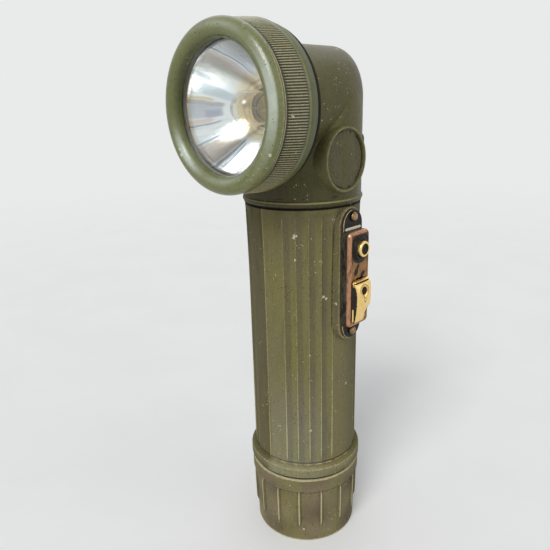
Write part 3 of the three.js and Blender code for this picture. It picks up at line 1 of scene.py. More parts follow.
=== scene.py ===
import logging
import math
from collections.abc import Callable, Iterable, Sequence
from dataclasses import dataclass
from enum import Enum

import bmesh
import bpy
import numpy as np
from mathutils import Matrix, Vector


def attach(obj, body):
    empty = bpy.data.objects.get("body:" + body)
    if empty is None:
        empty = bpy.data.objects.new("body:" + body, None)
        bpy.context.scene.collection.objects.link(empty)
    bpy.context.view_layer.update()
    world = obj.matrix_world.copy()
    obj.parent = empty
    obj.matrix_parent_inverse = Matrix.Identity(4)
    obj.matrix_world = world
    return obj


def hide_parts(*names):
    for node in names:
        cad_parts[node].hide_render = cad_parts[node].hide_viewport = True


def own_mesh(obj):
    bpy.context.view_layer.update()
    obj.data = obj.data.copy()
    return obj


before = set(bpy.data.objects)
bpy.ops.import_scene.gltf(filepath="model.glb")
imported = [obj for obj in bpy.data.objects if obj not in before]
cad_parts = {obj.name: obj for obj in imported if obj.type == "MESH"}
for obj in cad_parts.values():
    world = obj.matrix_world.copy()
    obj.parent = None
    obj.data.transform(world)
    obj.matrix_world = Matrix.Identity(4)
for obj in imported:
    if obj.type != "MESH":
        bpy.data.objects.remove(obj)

MM = 0.001
LENS_AXIS = 167.2
BUTTON_HEIGHT = 120.6
COVER_RIVETS = (89.7, 131.2)
CLIP_RIVETS = (160.5, 166.0)
RIVET_HOLE = 1.5
THREAD_WIRE = 0.56
NUMBER, WHOLE = "NodeSocketFloat", "NodeSocketInt"
UNSCALED = ("Count", "Turns", "First_Angle", "Lean")
MULTIPLY, ADD, SUBTRACT = "MULTIPLY", "ADD", "SUBTRACT"

log = logging.getLogger("flashlight")
Outline = list[tuple[float, float]]
Triple = tuple[float, float, float]
Piece = bpy.types.Object
Material = bpy.types.Material
Socket = bpy.types.NodeSocket
Links = dict[str | int, object]
Marks = dict[str, np.ndarray]
Marker = Callable[[np.ndarray, np.ndarray, np.ndarray], Marks]


class Axis(Enum):
    """The four ways that a piece made about +Z is turned to its place."""

    UPRIGHT = Matrix.Identity(3)
    LENS = Matrix(((1, 0, 0), (0, 0, -1), (0, 1, 0)))
    SWITCH = Matrix(((0, 0, 1), (1, 0, 0), (0, 1, 0)))
    BACK = Matrix(((-1, 0, 0), (0, 0, 1), (0, 1, 0)))


class Slot(Enum):
    """The record's material slot names; only the optics use them, to give the mirror a wider crease
    angle.
    """

    HEAD = "head_plastic"
    TUBE = "tube_plastic"
    CAP = "cap_plastic"
    BEZEL = "bezel_plastic"
    LENS = "clear_lens"
    BULB = "bulb_glass"
    MIRROR = "mirror_coat"
    BRASS = "brass"
    PLATE = "copper_plate"
    SPRING = "spring_steel"
    BLACK = "black_steel"
    CELL = "cell_jacket"


def arc(centre: tuple[float, float], radius: float, start: float, end: float,
        facets: int) -> Outline:
    """Points of a circle's arc.

    Args:
        centre: the circle's middle, as (radius, height).
        radius: the circle's own radius.
        start: first angle in degrees.
        end: last angle in degrees.
        facets: how many straight steps the arc has.

    Returns:
        The points in order, as (radius, height).
    """
    angles = np.radians(np.linspace(start, end, facets + 1))
    return [(centre[0] + radius * math.cos(a), centre[1] + radius * math.sin(a)) for a in angles]


def bell(values: np.ndarray, centre: float, width: float) -> np.ndarray:
    """1 at the centre, falling off smoothly over the width."""
    return np.exp(-(((values - centre) / width) ** 2))


def ramp(values: np.ndarray, low: float, high: float) -> np.ndarray:
    """0 below low, 1 above high, smooth between; the other way round if low is above high."""
    share = np.clip((values - low) / (high - low), 0, 1)
    return share * share * (3 - 2 * share)


def most(*marks: np.ndarray) -> np.ndarray:
    """The strongest of several marks at each point."""
    return np.maximum.reduce(marks)


@dataclass
class Shell:
    """A closed surface in millimetres: its points, and faces that name them."""

    points: np.ndarray
    faces: list[tuple[int, ...]]

    def volume(self) -> float:
        """The signed volume, negative if the faces point inwards.

        Returns:
            Cubic millimetres.
        """
        total = 0.0
        for face in self.faces:
            a = self.points[face[0]]
            for i in range(1, len(face) - 1):
                b, c = self.points[face[i]], self.points[face[i + 1]]
                total += float(np.dot(a, np.cross(b, c)))
        return total / 6

    def outward(self) -> "Shell":
        """The same surface with its faces pointing out.

        Returns:
            The shell itself.
        """
        if self.volume() < 0:
            self.faces = [face[::-1] for face in self.faces]
        return self

    def placed(self, axis: Axis = Axis.UPRIGHT, shift: Sequence[float] = (0, 0, 0),
               lift: float = 0.0) -> "Shell":
        """Turns a shell from +Z to an axis, after a shift in its own directions.

        Args:
            axis: where its height points afterwards.
            shift: how far it moves first, in millimetres.
            lift: how far it then moves up, in millimetres.

        Returns:
            The turned shell.
        """
        turned = (self.points + np.array(shift, float)) @ np.array(axis.value).T
        turned[:, 2] += lift
        return Shell(turned, self.faces).outward()

    def on_lens_axis(self) -> "Shell":
        """The same surface turned to the lens axis, its heights being distances in front."""
        return self.placed(Axis.LENS, lift=LENS_AXIS)

    def mesh(self, name: str) -> bpy.types.Mesh:
        """The shell as a Blender mesh in metres.

        Args:
            name: the mesh's name.

        Returns:
            The mesh.
        """
        data = bpy.data.meshes.new(name)
        data.from_pydata((self.points * MM).tolist(), [], self.faces)
        data.update()
        return data


def loft(rings: Sequence[np.ndarray], closed: bool = False) -> Shell:
    """A surface through rings of points.

    Args:
        rings: each a row of points that run the same way round.
        closed: True joins the last ring to the first, otherwise each end gets a fan.

    Returns:
        The closed shell.
    """
    count = len(rings[0])
    points = np.concatenate([np.asarray(r, float) for r in rings])
    faces: list[tuple[int, ...]] = []
    around = [(i, (i + 1) % count) for i in range(count)]
    spans = len(rings) if closed else len(rings) - 1
    for level in range(spans):
        low, high = level * count, ((level + 1) % len(rings)) * count
        faces += [(low + i, low + j, high + j, high + i) for i, j in around]
    if not closed:
        last = (len(rings) - 1) * count
        points = np.vstack([points, np.mean(rings[0], 0), np.mean(rings[-1], 0)])
        faces += [(len(points) - 2, j, i) for i, j in around]
        faces += [(len(points) - 1, last + i, last + j) for i, j in around]
    return Shell(points, faces).outward()


def lathe(outline: Outline, steps: int = 96) -> Shell:
    """A body turned about +Z.

    Args:
        outline: (radius, height) points in millimetres; a loop, or a line that starts and
            ends on the axis.
        steps: facets in a full turn.

    Returns:
        The closed shell.
    """
    angles = np.arange(steps) * 2 * math.pi / steps
    circle = np.stack([np.cos(angles), np.sin(angles), np.zeros(steps)], 1)
    solid = outline[0][0] == 0 and outline[-1][0] == 0
    inner = outline[1:-1] if solid else outline
    rings = [circle * r + np.array([0, 0, h]) for r, h in inner]
    shell = loft(rings, closed=not solid)
    if solid:
        shell.points[-2] = (0, 0, outline[0][1])
        shell.points[-1] = (0, 0, outline[-1][1])
    return shell


def rounded(left: float, foot: float, right: float, top: float, corner: float,
            facets: int = 8) -> np.ndarray:
    """The outline of a rectangle with rounded corners.

    Args:
        left: lowest x.
        foot: lowest y.
        right: highest x.
        top: highest y.
        corner: radius of the four corners.
        facets: steps in each corner.

    Returns:
        The points in order, as rows of x and y.
    """
    spots = [(right - corner, foot + corner, -90), (right - corner, top - corner, 0),
             (left + corner, top - corner, 90), (left + corner, foot + corner, 180)]
    return np.array([p for x, y, turn in spots
                     for p in arc((x, y), corner, turn, turn + 90, facets)])


def pillow(sides: tuple[float, float, float, float], corner: float, low: float, high: float,
           edge: float) -> Shell:
    """A slab of a rounded rectangle whose upper edge is rounded over.

    Args:
        sides: lowest x, lowest y, highest x and highest y.
        corner: radius of the four corners.
        low: height of the flat underside.
        high: height of the face.
        edge: radius of the rounded edge.

    Returns:
        The closed shell, facing +Z.
    """
    left, foot, right, top = sides
    rings = []
    for inset, height in [(0.0, low), *arc((edge, high - edge), edge, 180, 90, 6)]:
        flat = rounded(left + inset, foot + inset, right - inset, top - inset,
                       max(corner - inset, 0.05))
        rings.append(np.column_stack([flat, np.full(len(flat), height)]))
    return loft(rings)


def block(half: float, foot: float, top: float, low: float, high: float,
          corner: float = 0.3) -> Shell:
    """A plain slab of a rounded rectangle between two heights.

    Args:
        half: half its width, across x.
        foot: lowest y.
        top: highest y.
        low: height of its underside.
        high: height of its face.
        corner: radius of the four corners.

    Returns:
        The closed shell.
    """
    flat = rounded(-half, foot, half, top, corner, 4)
    return loft([np.column_stack([flat, np.full(len(flat), h)]) for h in (low, high)])


def bar(radius: float, low: float, high: float, steps: int = 48) -> Shell:
    """A round bar about +Z."""
    return lathe([(0, low), (radius, low), (radius, high), (0, high)], steps)


def bent_line(corners: Sequence[tuple[float, float]], radius: float, facets: int = 8) -> np.ndarray:
    """A line through corners, each rounded off.

    Args:
        corners: the line's points before rounding.
        radius: how far from a corner the rounding starts, at most.
        facets: steps in each rounded corner.

    Returns:
        The rounded line's points, one in each row.
    """
    spots = [np.array(c, float) for c in corners]
    path = [spots[0]]
    for before, spot, after in zip(spots, spots[1:], spots[2:]):
        back, on = before - spot, after - spot
        reach = min(radius, np.linalg.norm(back) / 2, np.linalg.norm(on) / 2)
        start = spot + back / np.linalg.norm(back) * reach
        end = spot + on / np.linalg.norm(on) * reach
        for t in np.linspace(0, 1, facets + 1):
            path.append((1 - t) ** 2 * start + 2 * t * (1 - t) * spot + t * t * end)
    path.append(spots[-1])
    return np.array(path)


def strip(line: np.ndarray, sheet: float, width: float, edge: float) -> Shell:
    """A bent strip with rounded edges.

    Args:
        line: the strip's middle line, as (out, up) rows.
        sheet: its thickness.
        width: its width, across x.
        edge: how far its corners are rounded.

    Returns:
        The closed shell, with out along y and up along z.
    """
    section = rounded(-width / 2, -sheet / 2, width / 2, sheet / 2, edge, 4)
    along = np.gradient(line, axis=0)
    along /= np.linalg.norm(along, axis=1)[:, None]
    return loft([np.column_stack([section[:, 0], out + section[:, 1] * d_up,
                                  up - section[:, 1] * d_out])
                 for (out, up), (d_out, d_up) in zip(line, along)])


def shown(name: str, data: bpy.types.ID) -> Piece:
    """A new object in the scene with a mesh, lamp or camera.

    Args:
        name: its name.
        data: its mesh, lamp or camera.

    Returns:
        The object.
    """
    piece = bpy.data.objects.new(name, data)
    bpy.context.scene.collection.objects.link(piece)
    return piece


def settle(piece: Piece) -> None:
    """Turns a piece's modifiers into its own plain mesh.

    Args:
        piece: the object.
    """
    bpy.context.view_layer.update()
    graph = bpy.context.evaluated_depsgraph_get()
    data = bpy.data.meshes.new_from_object(piece.evaluated_get(graph))
    piece.modifiers.clear()
    piece.data = data


def combined(name: str, base: Shell, adds: Iterable[Shell] = (),
             cuts: Iterable[Shell] = ()) -> Piece:
    """Joins and cuts shells into one closed piece.

    Args:
        name: the new object's name.
        base: the shell that the others are joined to and cut from.
        adds: shells joined to it.
        cuts: shells cut from the whole.

    Returns:
        The finished object.
    """
    piece = shown(name, base.mesh(name))
    tools = []
    for operation, shells in (("UNION", adds), ("DIFFERENCE", cuts)):
        for shell in shells:
            tools.append(shown(f"{name}_tool", shell.mesh(f"{name}_tool")))
            cut = piece.modifiers.new("fit", "BOOLEAN")
            cut.operation, cut.solver, cut.object = operation, "MANIFOLD", tools[-1]
    if tools:
        settle(piece)
    for tool in tools:
        bpy.data.objects.remove(tool)
    return piece


def densify(piece: Piece, limit: float) -> None:
    """Splits a piece's long edges, so that marks kept on its points stay sharp.

    Args:
        piece: the object.
        limit: the longest edge that is left, in millimetres.
    """
    work = bmesh.new()
    work.from_mesh(piece.data)
    for _ in range(7):
        bmesh.ops.triangulate(work, faces=work.faces)
        long = [e for e in work.edges if e.calc_length() > limit * MM]
        if not long:
            break
        bmesh.ops.subdivide_edges(work, edges=long, cuts=1)
    bmesh.ops.triangulate(work, faces=work.faces)
    work.to_mesh(piece.data)
    work.free()


def absorb(piece: Piece, other: Piece) -> None:
    """Takes another piece's mesh into a piece, and removes the other.

    Args:
        piece: the piece that grows.
        other: the piece that is taken in.
    """
    work = bmesh.new()
    work.from_mesh(piece.data)
    work.from_mesh(other.data)
    work.to_mesh(piece.data)
    work.free()
    bpy.data.objects.remove(other)


def linear(colour: str) -> tuple[float, float, float, float]:
    """A hex colour as Blender's linear one.

    Args:
        colour: a # and six digits.

    Returns:
        Red, green, blue and alpha.
    """
    parts = [int(colour[i:i + 2], 16) / 255 for i in (1, 3, 5)]
    bright = [c / 12.92 if c <= 0.04045 else ((c + 0.055) / 1.055) ** 2.4 for c in parts]
    return (*bright, 1.0)


class Nodes:
    """A node tree, and short ways to add to it."""

    def __init__(self, tree: bpy.types.NodeTree) -> None:
        """Takes the tree that nodes are added to."""
        self.tree = tree

    def feed(self, socket: Socket, value: object) -> None:
        """Links a socket, or sets its constant; a text constant is a hex colour.

        Args:
            socket: the input.
            value: an output socket or the constant.
        """
        if isinstance(value, Socket):
            self.tree.links.new(value, socket)
        else:
            socket.default_value = linear(value) if isinstance(value, str) else value

    def add(self, kind: str, links: Links | None = None, **settings: object) -> bpy.types.Node:
        """Adds a node.

        Args:
            kind: the node's type.
            links: for each input, another node's output socket or a constant.
            settings: the node's own properties.

        Returns:
            The new node.
        """
        node = self.tree.nodes.new(kind)
        for key, value in settings.items():
            setattr(node, key, value)
        for key, value in (links or {}).items():
            self.feed(node.inputs[key], value)
        return node

    def out(self, kind: str, links: Links | None = None, **settings: object) -> Socket:
        """Adds a node like add() does, and gives its first output."""
        return self.add(kind, links, **settings).outputs[0]

    def vector(self, **parts: object) -> Socket:
        """A vector from its parts X, Y and Z."""
        return self.out("ShaderNodeCombineXYZ", parts)

    def plain(self, operation: str, first: object, second: object = 0.0) -> Socket:
        """One step of arithmetic, not kept between 0 and 1."""
        return self.out("ShaderNodeMath", {0: first, 1: second}, operation=operation)

    def calc(self, operation: str, first: object, second: object = 0.0) -> Socket:
        """One step of arithmetic, kept between 0 and 1."""
        return self.out("ShaderNodeMath", {0: first, 1: second}, operation=operation,
                        use_clamp=True)

    def times(self, first: object, second: object) -> Socket:
        """A product, kept between 0 and 1."""
        return self.calc(MULTIPLY, first, second)

    def plus(self, first: object, second: object) -> Socket:
        """A sum, kept between 0 and 1."""
        return self.calc(ADD, first, second)


class Grower(Nodes):
    """A Geometry Nodes tree with named inputs, and the way to run it on a piece."""

    def __init__(self, name: str, inputs: dict[str, str]) -> None:
        """Starts a tree.

        Args:
            name: the tree's name.
            inputs: each input's name and kind of socket.
        """
        super().__init__(bpy.data.node_groups.new(name, "GeometryNodeTree"))
        face = self.tree.interface
        for way in ("INPUT", "OUTPUT"):
            face.new_socket("Piece", in_out=way, socket_type="NodeSocketGeometry")
        self.keys = {
            label: face.new_socket(label, in_out="INPUT", socket_type=kind).identifier
            for label, kind in {**inputs, "Finish": "NodeSocketMaterial"}.items()}
        self.source = self.tree.nodes.new("NodeGroupInput")
        self.end = self.tree.nodes.new("NodeGroupOutput")

    def take(self, label: str) -> Socket:
        """The group's own input of that name."""
        return self.source.outputs[label]

    def close(self, grown: Socket) -> "Grower":
        """Joins what has grown to the piece, makes it real and gives it the finish.

        Args:
            grown: the output socket of what has grown.

        Returns:
            The grower itself.
        """
        joined = self.tree.nodes.new("GeometryNodeJoinGeometry")
        for part in (grown, self.take("Piece")):
            self.feed(joined.inputs[0], part)
        real = self.out("GeometryNodeRealizeInstances", {0: joined.outputs[0]})
        dressed = self.out("GeometryNodeSetMaterial",
                           {"Geometry": real, "Material": self.take("Finish")})
        self.feed(self.end.inputs[0], dressed)
        return self

    def run(self, piece: Piece, **values: object) -> None:
        """Grows the tree's forms on a piece and leaves a plain mesh.

        Args:
            piece: the object that is changed.
            values: the tree's inputs, with _ for each space in a name.
        """
        growth = piece.modifiers.new("growth", "NODES")
        growth.node_group = self.tree
        for label, value in values.items():
            growth[self.keys[label.replace("_", " ")]] = value
        settle(piece)

    def grow(self, piece: Piece, finish: Material, **sizes: float) -> None:
        """Runs the tree with a finish, and with its lengths given in millimetres."""
        self.run(piece, Finish=finish, **{
            key: value if key in UNSCALED else value * MM for key, value in sizes.items()})


def rib_ring() -> Grower:
    """A tree that sets rounded ribs in a ring about +Z, each leaning by one angle.

    Returns:
        The tree.
    """
    numbers = ("First Angle", "Ring Radius", "Height", "Rib Length", "Rib Width", "Rib Depth",
               "Lean")
    g = Grower("rib_ring", {"Count": WHOLE, **dict.fromkeys(numbers, NUMBER)})
    half = g.plain(MULTIPLY, g.take("Rib Length"), 0.5)
    line = g.out("GeometryNodeCurvePrimitiveLine", {
        "Start": g.vector(Z=g.plain(MULTIPLY, half, -1.0)), "End": g.vector(Z=half)})
    steps = g.out("GeometryNodeResampleCurve", {"Curve": line, "Count": 9})
    along = g.add("GeometryNodeSplineParameter").outputs["Factor"]
    from_middle = g.plain("ABSOLUTE", g.plain(SUBTRACT, g.plain(MULTIPLY, along, 2.0), 1.0))
    round_off = g.plain(SUBTRACT, 1.0, g.plain("POWER", from_middle, 8.0))
    fade = g.plain("MAXIMUM", g.plain("POWER", round_off, 0.5), 0.12)
    rib = g.add("GeometryNodeCurveToMesh", {
        "Curve": g.out("GeometryNodeSetCurveRadius", {"Curve": steps, "Radius": fade}),
        "Profile Curve": g.out("GeometryNodeCurvePrimitiveCircle", {
            "Resolution": 8, "Radius": 1.0}),
        "Fill Caps": True})
    if "Scale" in rib.inputs:
        g.feed(rib.inputs["Scale"], fade)
    size = g.vector(X=g.take("Rib Depth"), Y=g.plain(MULTIPLY, g.take("Rib Width"), 0.5), Z=1.0)
    share = g.plain("DIVIDE", g.out("GeometryNodeInputIndex"), g.take("Count"))
    angle = g.plain(ADD, g.plain(MULTIPLY, share, 2 * math.pi), g.take("First Angle"))
    place = g.vector(**{part: g.plain(MULTIPLY, g.plain(turn, angle), g.take("Ring Radius"))
                        for part, turn in (("X", "COSINE"), ("Y", "SINE"))}, Z=g.take("Height"))
    return g.close(g.out("GeometryNodeInstanceOnPoints", {
        "Points": g.out("GeometryNodePoints", {"Count": g.take("Count"), "Position": place}),
        "Instance": g.out("GeometryNodeTransform", {"Geometry": rib.outputs[0], "Scale": size}),
        "Rotation": g.vector(Y=g.take("Lean"), Z=angle)}))


def winding() -> Grower:
    """A tree that winds a round wire or thread ridge along a helix about +Z.

    Returns:
        The tree.
    """
    g = Grower("winding", dict.fromkeys(
        ("Foot Radius", "Top Radius", "Foot", "Rise", "Turns", "Wire"), NUMBER))
    helix = g.out("GeometryNodeCurveSpiral", {
        "Resolution": 40, "Rotations": g.take("Turns"), "Start Radius": g.take("Foot Radius"),
        "End Radius": g.take("Top Radius"), "Height": g.take("Rise")})
    section = g.out("GeometryNodeCurvePrimitiveCircle", {
        "Resolution": 8, "Radius": g.plain(MULTIPLY, g.take("Wire"), 0.5)})
    wire = g.out("GeometryNodeCurveToMesh", {
        "Curve": helix, "Profile Curve": section, "Fill Caps": True})
    return g.close(g.out("GeometryNodeTransform", {
        "Geometry": wire, "Translation": g.vector(Z=g.take("Foot"))}))


def row_of() -> Grower:
    """A tree that sets copies of a sample piece, such as a rivet, in a row.

    Returns:
        The tree.
    """
    g = Grower("row_of", {
        "Sample": "NodeSocketObject", "Count": WHOLE, "First": "NodeSocketVector",
        "Step": "NodeSocketVector"})
    sample = g.add("GeometryNodeObjectInfo", {"Object": g.take("Sample")})
    line = g.out("GeometryNodeMeshLine", {
        "Count": g.take("Count"), "Start Location": g.take("First"), "Offset": g.take("Step")})
    return g.close(g.out("GeometryNodeInstanceOnPoints", {
        "Points": line, "Instance": sample.outputs["Geometry"]}))


def blank(name: str) -> Piece:
    """A piece without any shape, for a tree to grow on."""
    return combined(name, Shell(np.empty((0, 3)), []))


def turn_to(piece: Piece, axis: Axis, centre: float) -> None:
    """Turns a piece from +Z to an axis at a height in millimetres.

    Args:
        piece: the object.
        axis: where its +Z points afterwards.
        centre: the height of that axis.
    """
    place = axis.value.to_4x4()
    place.translation = Vector((0, 0, centre * MM))
    piece.data.transform(place)


def wound(name: str, coil: Grower, axis: Axis, centre: float, finish: Material,
          **sizes: float) -> Piece:
    """A coil or thread ridge of its own, turned from +Z to an axis.

    Args:
        name: the new object's name.
        coil: the tree that winds it.
        axis: where it points afterwards.
        centre: the height of that axis, in millimetres.
        finish: its material.
        sizes: the tree's inputs, with lengths in millimetres.

    Returns:
        The wound piece.
    """
    piece = blank(name)
    coil.grow(piece, finish, **sizes)
    turn_to(piece, axis, centre)
    return piece


def rivet_pair(name: str, sample: Shell, row: Grower, heights: tuple[float, float],
               finish: Material) -> Piece:
    """Two copies of a rivet, one above the other.

    Args:
        name: the new object's name.
        sample: one rivet at height 0.
        row: the tree that sets copies in a row.
        heights: where the two are, in millimetres.
        finish: their material.

    Returns:
        The pair as one piece.
    """
    model, pair = combined(f"{name}_sample", sample), blank(name)
    low, high = heights
    row.run(pair, Sample=model, Count=2, First=(0, 0, low * MM),
            Step=(0, 0, (high - low) * MM), Finish=finish)
    bpy.data.objects.remove(model)
    return pair


class Shade(Nodes):
    """One node material on Object coordinates in millimetres."""

    def __init__(self, name: str) -> None:
        """Starts the material with a Principled shader.

        Args:
            name: the material's name.
        """
        self.material = bpy.data.materials.new(name)
        self.material.use_nodes = True
        super().__init__(self.material.node_tree)
        self.tree.nodes.clear()
        self.skin = self.add("ShaderNodeBsdfPrincipled")
        self.end = self.add("ShaderNodeOutputMaterial", {"Surface": self.skin.outputs[0]})
        spot = self.add("ShaderNodeTexCoord").outputs["Object"]
        self.place = self.out("ShaderNodeVectorMath", {0: spot, "Scale": 1 / MM},
                              operation="SCALE")

    def noise(self, size: float, seed: float = 0.0, detail: float = 3.0, rough: float = 0.55,
              stretch: Sequence[float] = (1, 1, 1)) -> Socket:
        """Soft noise from 0 to 1.

        Args:
            size: how wide one patch is, in millimetres.
            seed: picks the pattern.
            detail: how many finer layers there are.
            rough: how strong those are.
            stretch: patches get longer along an axis with a number below 1.

        Returns:
            The noise as a socket.
        """
        place = self.place
        if tuple(stretch) != (1, 1, 1):
            place = self.out("ShaderNodeMapping", {"Vector": place, "Scale": stretch})
        return self.out("ShaderNodeTexNoise", {
            "Vector": place, "W": seed, "Scale": 1 / size, "Detail": detail,
            "Roughness": rough}, noise_dimensions="4D")

    def specks(self, size: float, seed: float, share: float) -> Socket:
        """Small scattered specks.

        Args:
            size: how far one is from the next, in millimetres.
            seed: picks the pattern.
            share: how much of the surface has them.

        Returns:
            A socket that is 1 on a speck and 0 elsewhere.
        """
        spots = self.add("ShaderNodeTexVoronoi", {
            "Vector": self.place, "W": seed, "Scale": 1 / size}, voronoi_dimensions="4D")
        near = self.span(spots.outputs["Distance"], 0.32, 0.2)
        pick = self.span(self.noise(size * 6, seed + 3, 1.0), 1 - share, 1 - share + 0.04)
        return self.times(near, pick)

    def span(self, value: object, low: float, high: float) -> Socket:
        """A smooth step from 0 at low to 1 at high."""
        return self.out("ShaderNodeMapRange", {
            "Value": value, "From Min": low, "From Max": high}, interpolation_type="SMOOTHSTEP")

    def rest(self, share: object) -> Socket:
        """What a share leaves of 1."""
        return self.calc(SUBTRACT, 1.0, share)

    def blend(self, share: object, first: object, second: object) -> Socket:
        """A colour between two others.

        Args:
            share: how much of the second there is.
            first: the colour at 0.
            second: the colour at 1.

        Returns:
            The colour as a socket.
        """
        node = self.add("ShaderNodeMix", {0: share}, data_type="RGBA")
        self.feed(node.inputs[6], first)
        self.feed(node.inputs[7], second)
        return node.outputs[2]

    def tint(self, coat: object, colour: object, share: object, strength: object) -> Socket:
        """A coat with a colour laid over it.

        Args:
            coat: the colour below.
            colour: the colour that is laid over it.
            share: where it lies, from 0 to 1.
            strength: how well it covers, from 0 to 1.

        Returns:
            The new colour as a socket.
        """
        return self.blend(self.times(share, strength), coat, colour)

    def level(self, share: object, first: float, second: float) -> Socket:
        """A number between two others."""
        return self.out("ShaderNodeMapRange", {
            "Value": share, "To Min": first, "To Max": second})

    def mark(self, name: str) -> Socket:
        """A number kept on the piece's points, such as its wear."""
        return self.add("ShaderNodeAttribute", attribute_name=name,
                        attribute_type="GEOMETRY").outputs["Fac"]

    def ragged(self, name: str, weight: float, noise: Socket, more: float, low: float,
               high: float) -> Socket:
        """A mark on the piece's points, with an edge that noise breaks up.

        Args:
            name: the mark.
            weight: its strength.
            noise: what breaks it up.
            more: the noise's strength.
            low: where their sum still gives 0.
            high: where it gives 1.

        Returns:
            The mark as a socket.
        """
        both = self.plus(self.times(self.mark(name), weight), self.times(noise, more))
        return self.span(both, low, high)

    def bump(self, height: object, depth: float, under: object = None) -> Socket:
        """A bumped normal, on top of another if one is given.

        Args:
            height: the relief from 0 to 1.
            depth: how deep it is, in millimetres.
            under: the normal that it starts from.

        Returns:
            The normal as a socket.
        """
        below = {} if under is None else {"Normal": under}
        return self.out("ShaderNodeBump", {"Height": height, "Distance": depth * MM, **below})

    def finish(self, **sockets: object) -> Material:
        """Feeds the shader's sockets, with _ for each space, and gives the material.

        Args:
            sockets: each input's output socket or constant.

        Returns:
            The material.
        """
        for key, value in sockets.items():
            self.feed(self.skin.inputs[key.replace("_", " ")], value)
        return self.material


@dataclass(frozen=True)
class OliveDrab:
    """Moulded olive plastic, handled for decades: mottled, scuffed, dirty, and painted with shade
    in its corners and with highlights and sheen.
    """

    name: str
    green: str
    brown: str
    worn: str
    # Colour of dirt, and of painted shade in creases, in recesses and on shaded sides.
    grime_and_shade: str = "#15130c"
    chip: str = "#b07d50"
    gloss: float = 0.5
    mottle: float = 0.5
    grain: float = 0.05
    drag: Triple = (1, 1, 0.12)
    shine: float = 0.2
    nicks: tuple[tuple[float, float, float, float], ...] = ()
    # Pale blue-grey colour of the painted sheen, a reflection laid into the colour.
    film: str = "#c0c8bc"
    scar: str = "#dcc9a4"
    nick: str = "#d3cdb0"

    def material(self) -> Material:
        """Builds the nodes.

        Returns:
            The material.
        """
        s = Shade(self.name)
        fine, edge = s.noise(0.5, 3, 4, 0.68), s.noise(0.7, 15, 3)
        wide = s.span(s.noise(15, 1, 3), 0.38, 0.62)
        drawn = s.span(s.noise(3.2, 2, 3, 0.62, self.drag), 0.35, 0.68)
        share = s.plus(s.times(wide, self.mottle * 0.4), s.times(drawn, self.mottle * 0.4))
        share = s.plus(share, s.times(s.mark("panel"), 0.7))
        coat = s.blend(share, self.green, self.brown)
        coat = s.blend(s.level(s.span(fine, 0.3, 0.7), 0.0, 0.2), coat, self.worn)
        # Darker where the shaded-side mark lies, which is painted shade, plus a noisy dirt film.
        film = s.plus(s.times(s.mark("shade_and_mottle"), 0.7),
                      s.times(s.span(s.noise(1.4, 9, 4, 0.7, self.drag), 0.5, 0.72), 0.32))
        coat = s.tint(coat, self.grime_and_shade, film, s.level(fine, 0.45, 1.0))
        # Paler where the worn mark lies: worn edges, and painted highlights on some edges.
        rubbed = s.ragged("wear_and_highlight", 0.72, s.noise(1.0, 4, 5, 0.75), 0.66, 0.6, 0.9)
        coat = s.tint(coat, self.worn, rubbed, 0.9)
        # Darker in creases and recesses: dirt and painted shade.
        dirt_and_shade = s.ragged("grime_and_shade", 0.85, s.noise(0.9, 5, 4, 0.7), 0.4, 0.45, 0.8)
        coat = s.tint(coat, self.grime_and_shade, dirt_and_shade, 0.9)
        scar = s.ragged("chips", 0.62, s.noise(0.9, 6, 5, 0.8), 0.66, 0.86, 0.93)
        coat = s.blend(scar, coat, s.blend(s.noise(0.5, 13, 2), self.chip, self.scar))
        # Painted sheen: a pale blue-grey reflection laid into the colour.
        coat = s.tint(coat, self.film, s.mark("sheen"),
                      s.level(s.noise(1.6, 14, 4, 0.7), 0.4, 1.0))
        specks = s.specks(0.7, 7, 0.4)
        for *spot, size in self.nicks:
            gap = s.add("ShaderNodeVectorMath", {0: s.place, 1: spot},
                        operation="DISTANCE").outputs["Value"]
            gap = s.plain(ADD, gap, s.level(edge, -1.8 * size, 1.8 * size))
            specks = s.calc("MAXIMUM", specks, s.span(gap, size * 0.85, size * 0.5))
        coat = s.tint(coat, self.nick, specks, 0.85)
        coat = s.tint(coat, self.grime_and_shade, s.specks(0.8, 11, 0.44), 0.75)
        rough = s.plus(s.level(s.noise(5, 8, 3), self.gloss - 0.1, self.gloss + 0.12),
                       s.times(s.plus(dirt_and_shade, rubbed), 0.18))
        rough = s.plus(rough, s.times(s.mark("shade_and_mottle"), 0.35))
        relief = s.bump(s.noise(4.5, 12, 2), 0.12, s.bump(fine, self.grain))
        relief = s.bump(s.rest(s.plus(specks, scar)), 0.09, relief)
        return s.finish(Base_Color=coat, Roughness=rough, Normal=relief,
                        Specular_IOR_Level=self.shine)


@dataclass(frozen=True)
class BareMetal:
    """Bare metal with tarnish in its hollows, rubbed bright where it is touched."""

    name: str
    bright: str
    tarnish: str
    black: str
    gloss: float = 0.3
    spread: float = 0.5
    rust: str = "#7a4f1a"

    def material(self) -> Material:
        """Builds the nodes.

        Returns:
            The material.
        """
        s = Shade(self.name)
        untouched = s.rest(s.times(s.mark("wear_and_highlight"), 0.6))
        cloud = s.span(s.noise(2.4, 1, 4, 0.65), 0.62 - self.spread * 0.4, 0.78)
        coat = s.tint(self.bright, self.tarnish, untouched, cloud)
        coat = s.tint(coat, self.rust, s.mark("rust"), 0.95)
        # Black where the dark mark lies: dirt, and painted shade in hollows and at the feet of
        # parts.
        grime_and_shade = s.ragged("grime_and_shade", 0.9, s.noise(0.7, 2, 4, 0.7), 0.35, 0.5, 0.75)
        coat = s.blend(grime_and_shade, coat, self.black)
        coat = s.tint(coat, self.black, s.specks(0.4, 3, 0.45), 0.6)
        rough = s.plus(s.level(s.noise(0.8, 4, 3), self.gloss - 0.08, self.gloss + 0.14),
                       s.times(grime_and_shade, 0.4))
        relief = s.bump(s.noise(0.12, 6, 2, 0.5, (1, 1, 0.1)), 0.006,
                        s.bump(s.noise(0.5, 5, 4, 0.7), 0.03))
        return s.finish(Base_Color=coat, Roughness=rough, Metallic=s.level(grime_and_shade, 1.0, 0.15),
                        Normal=relief)


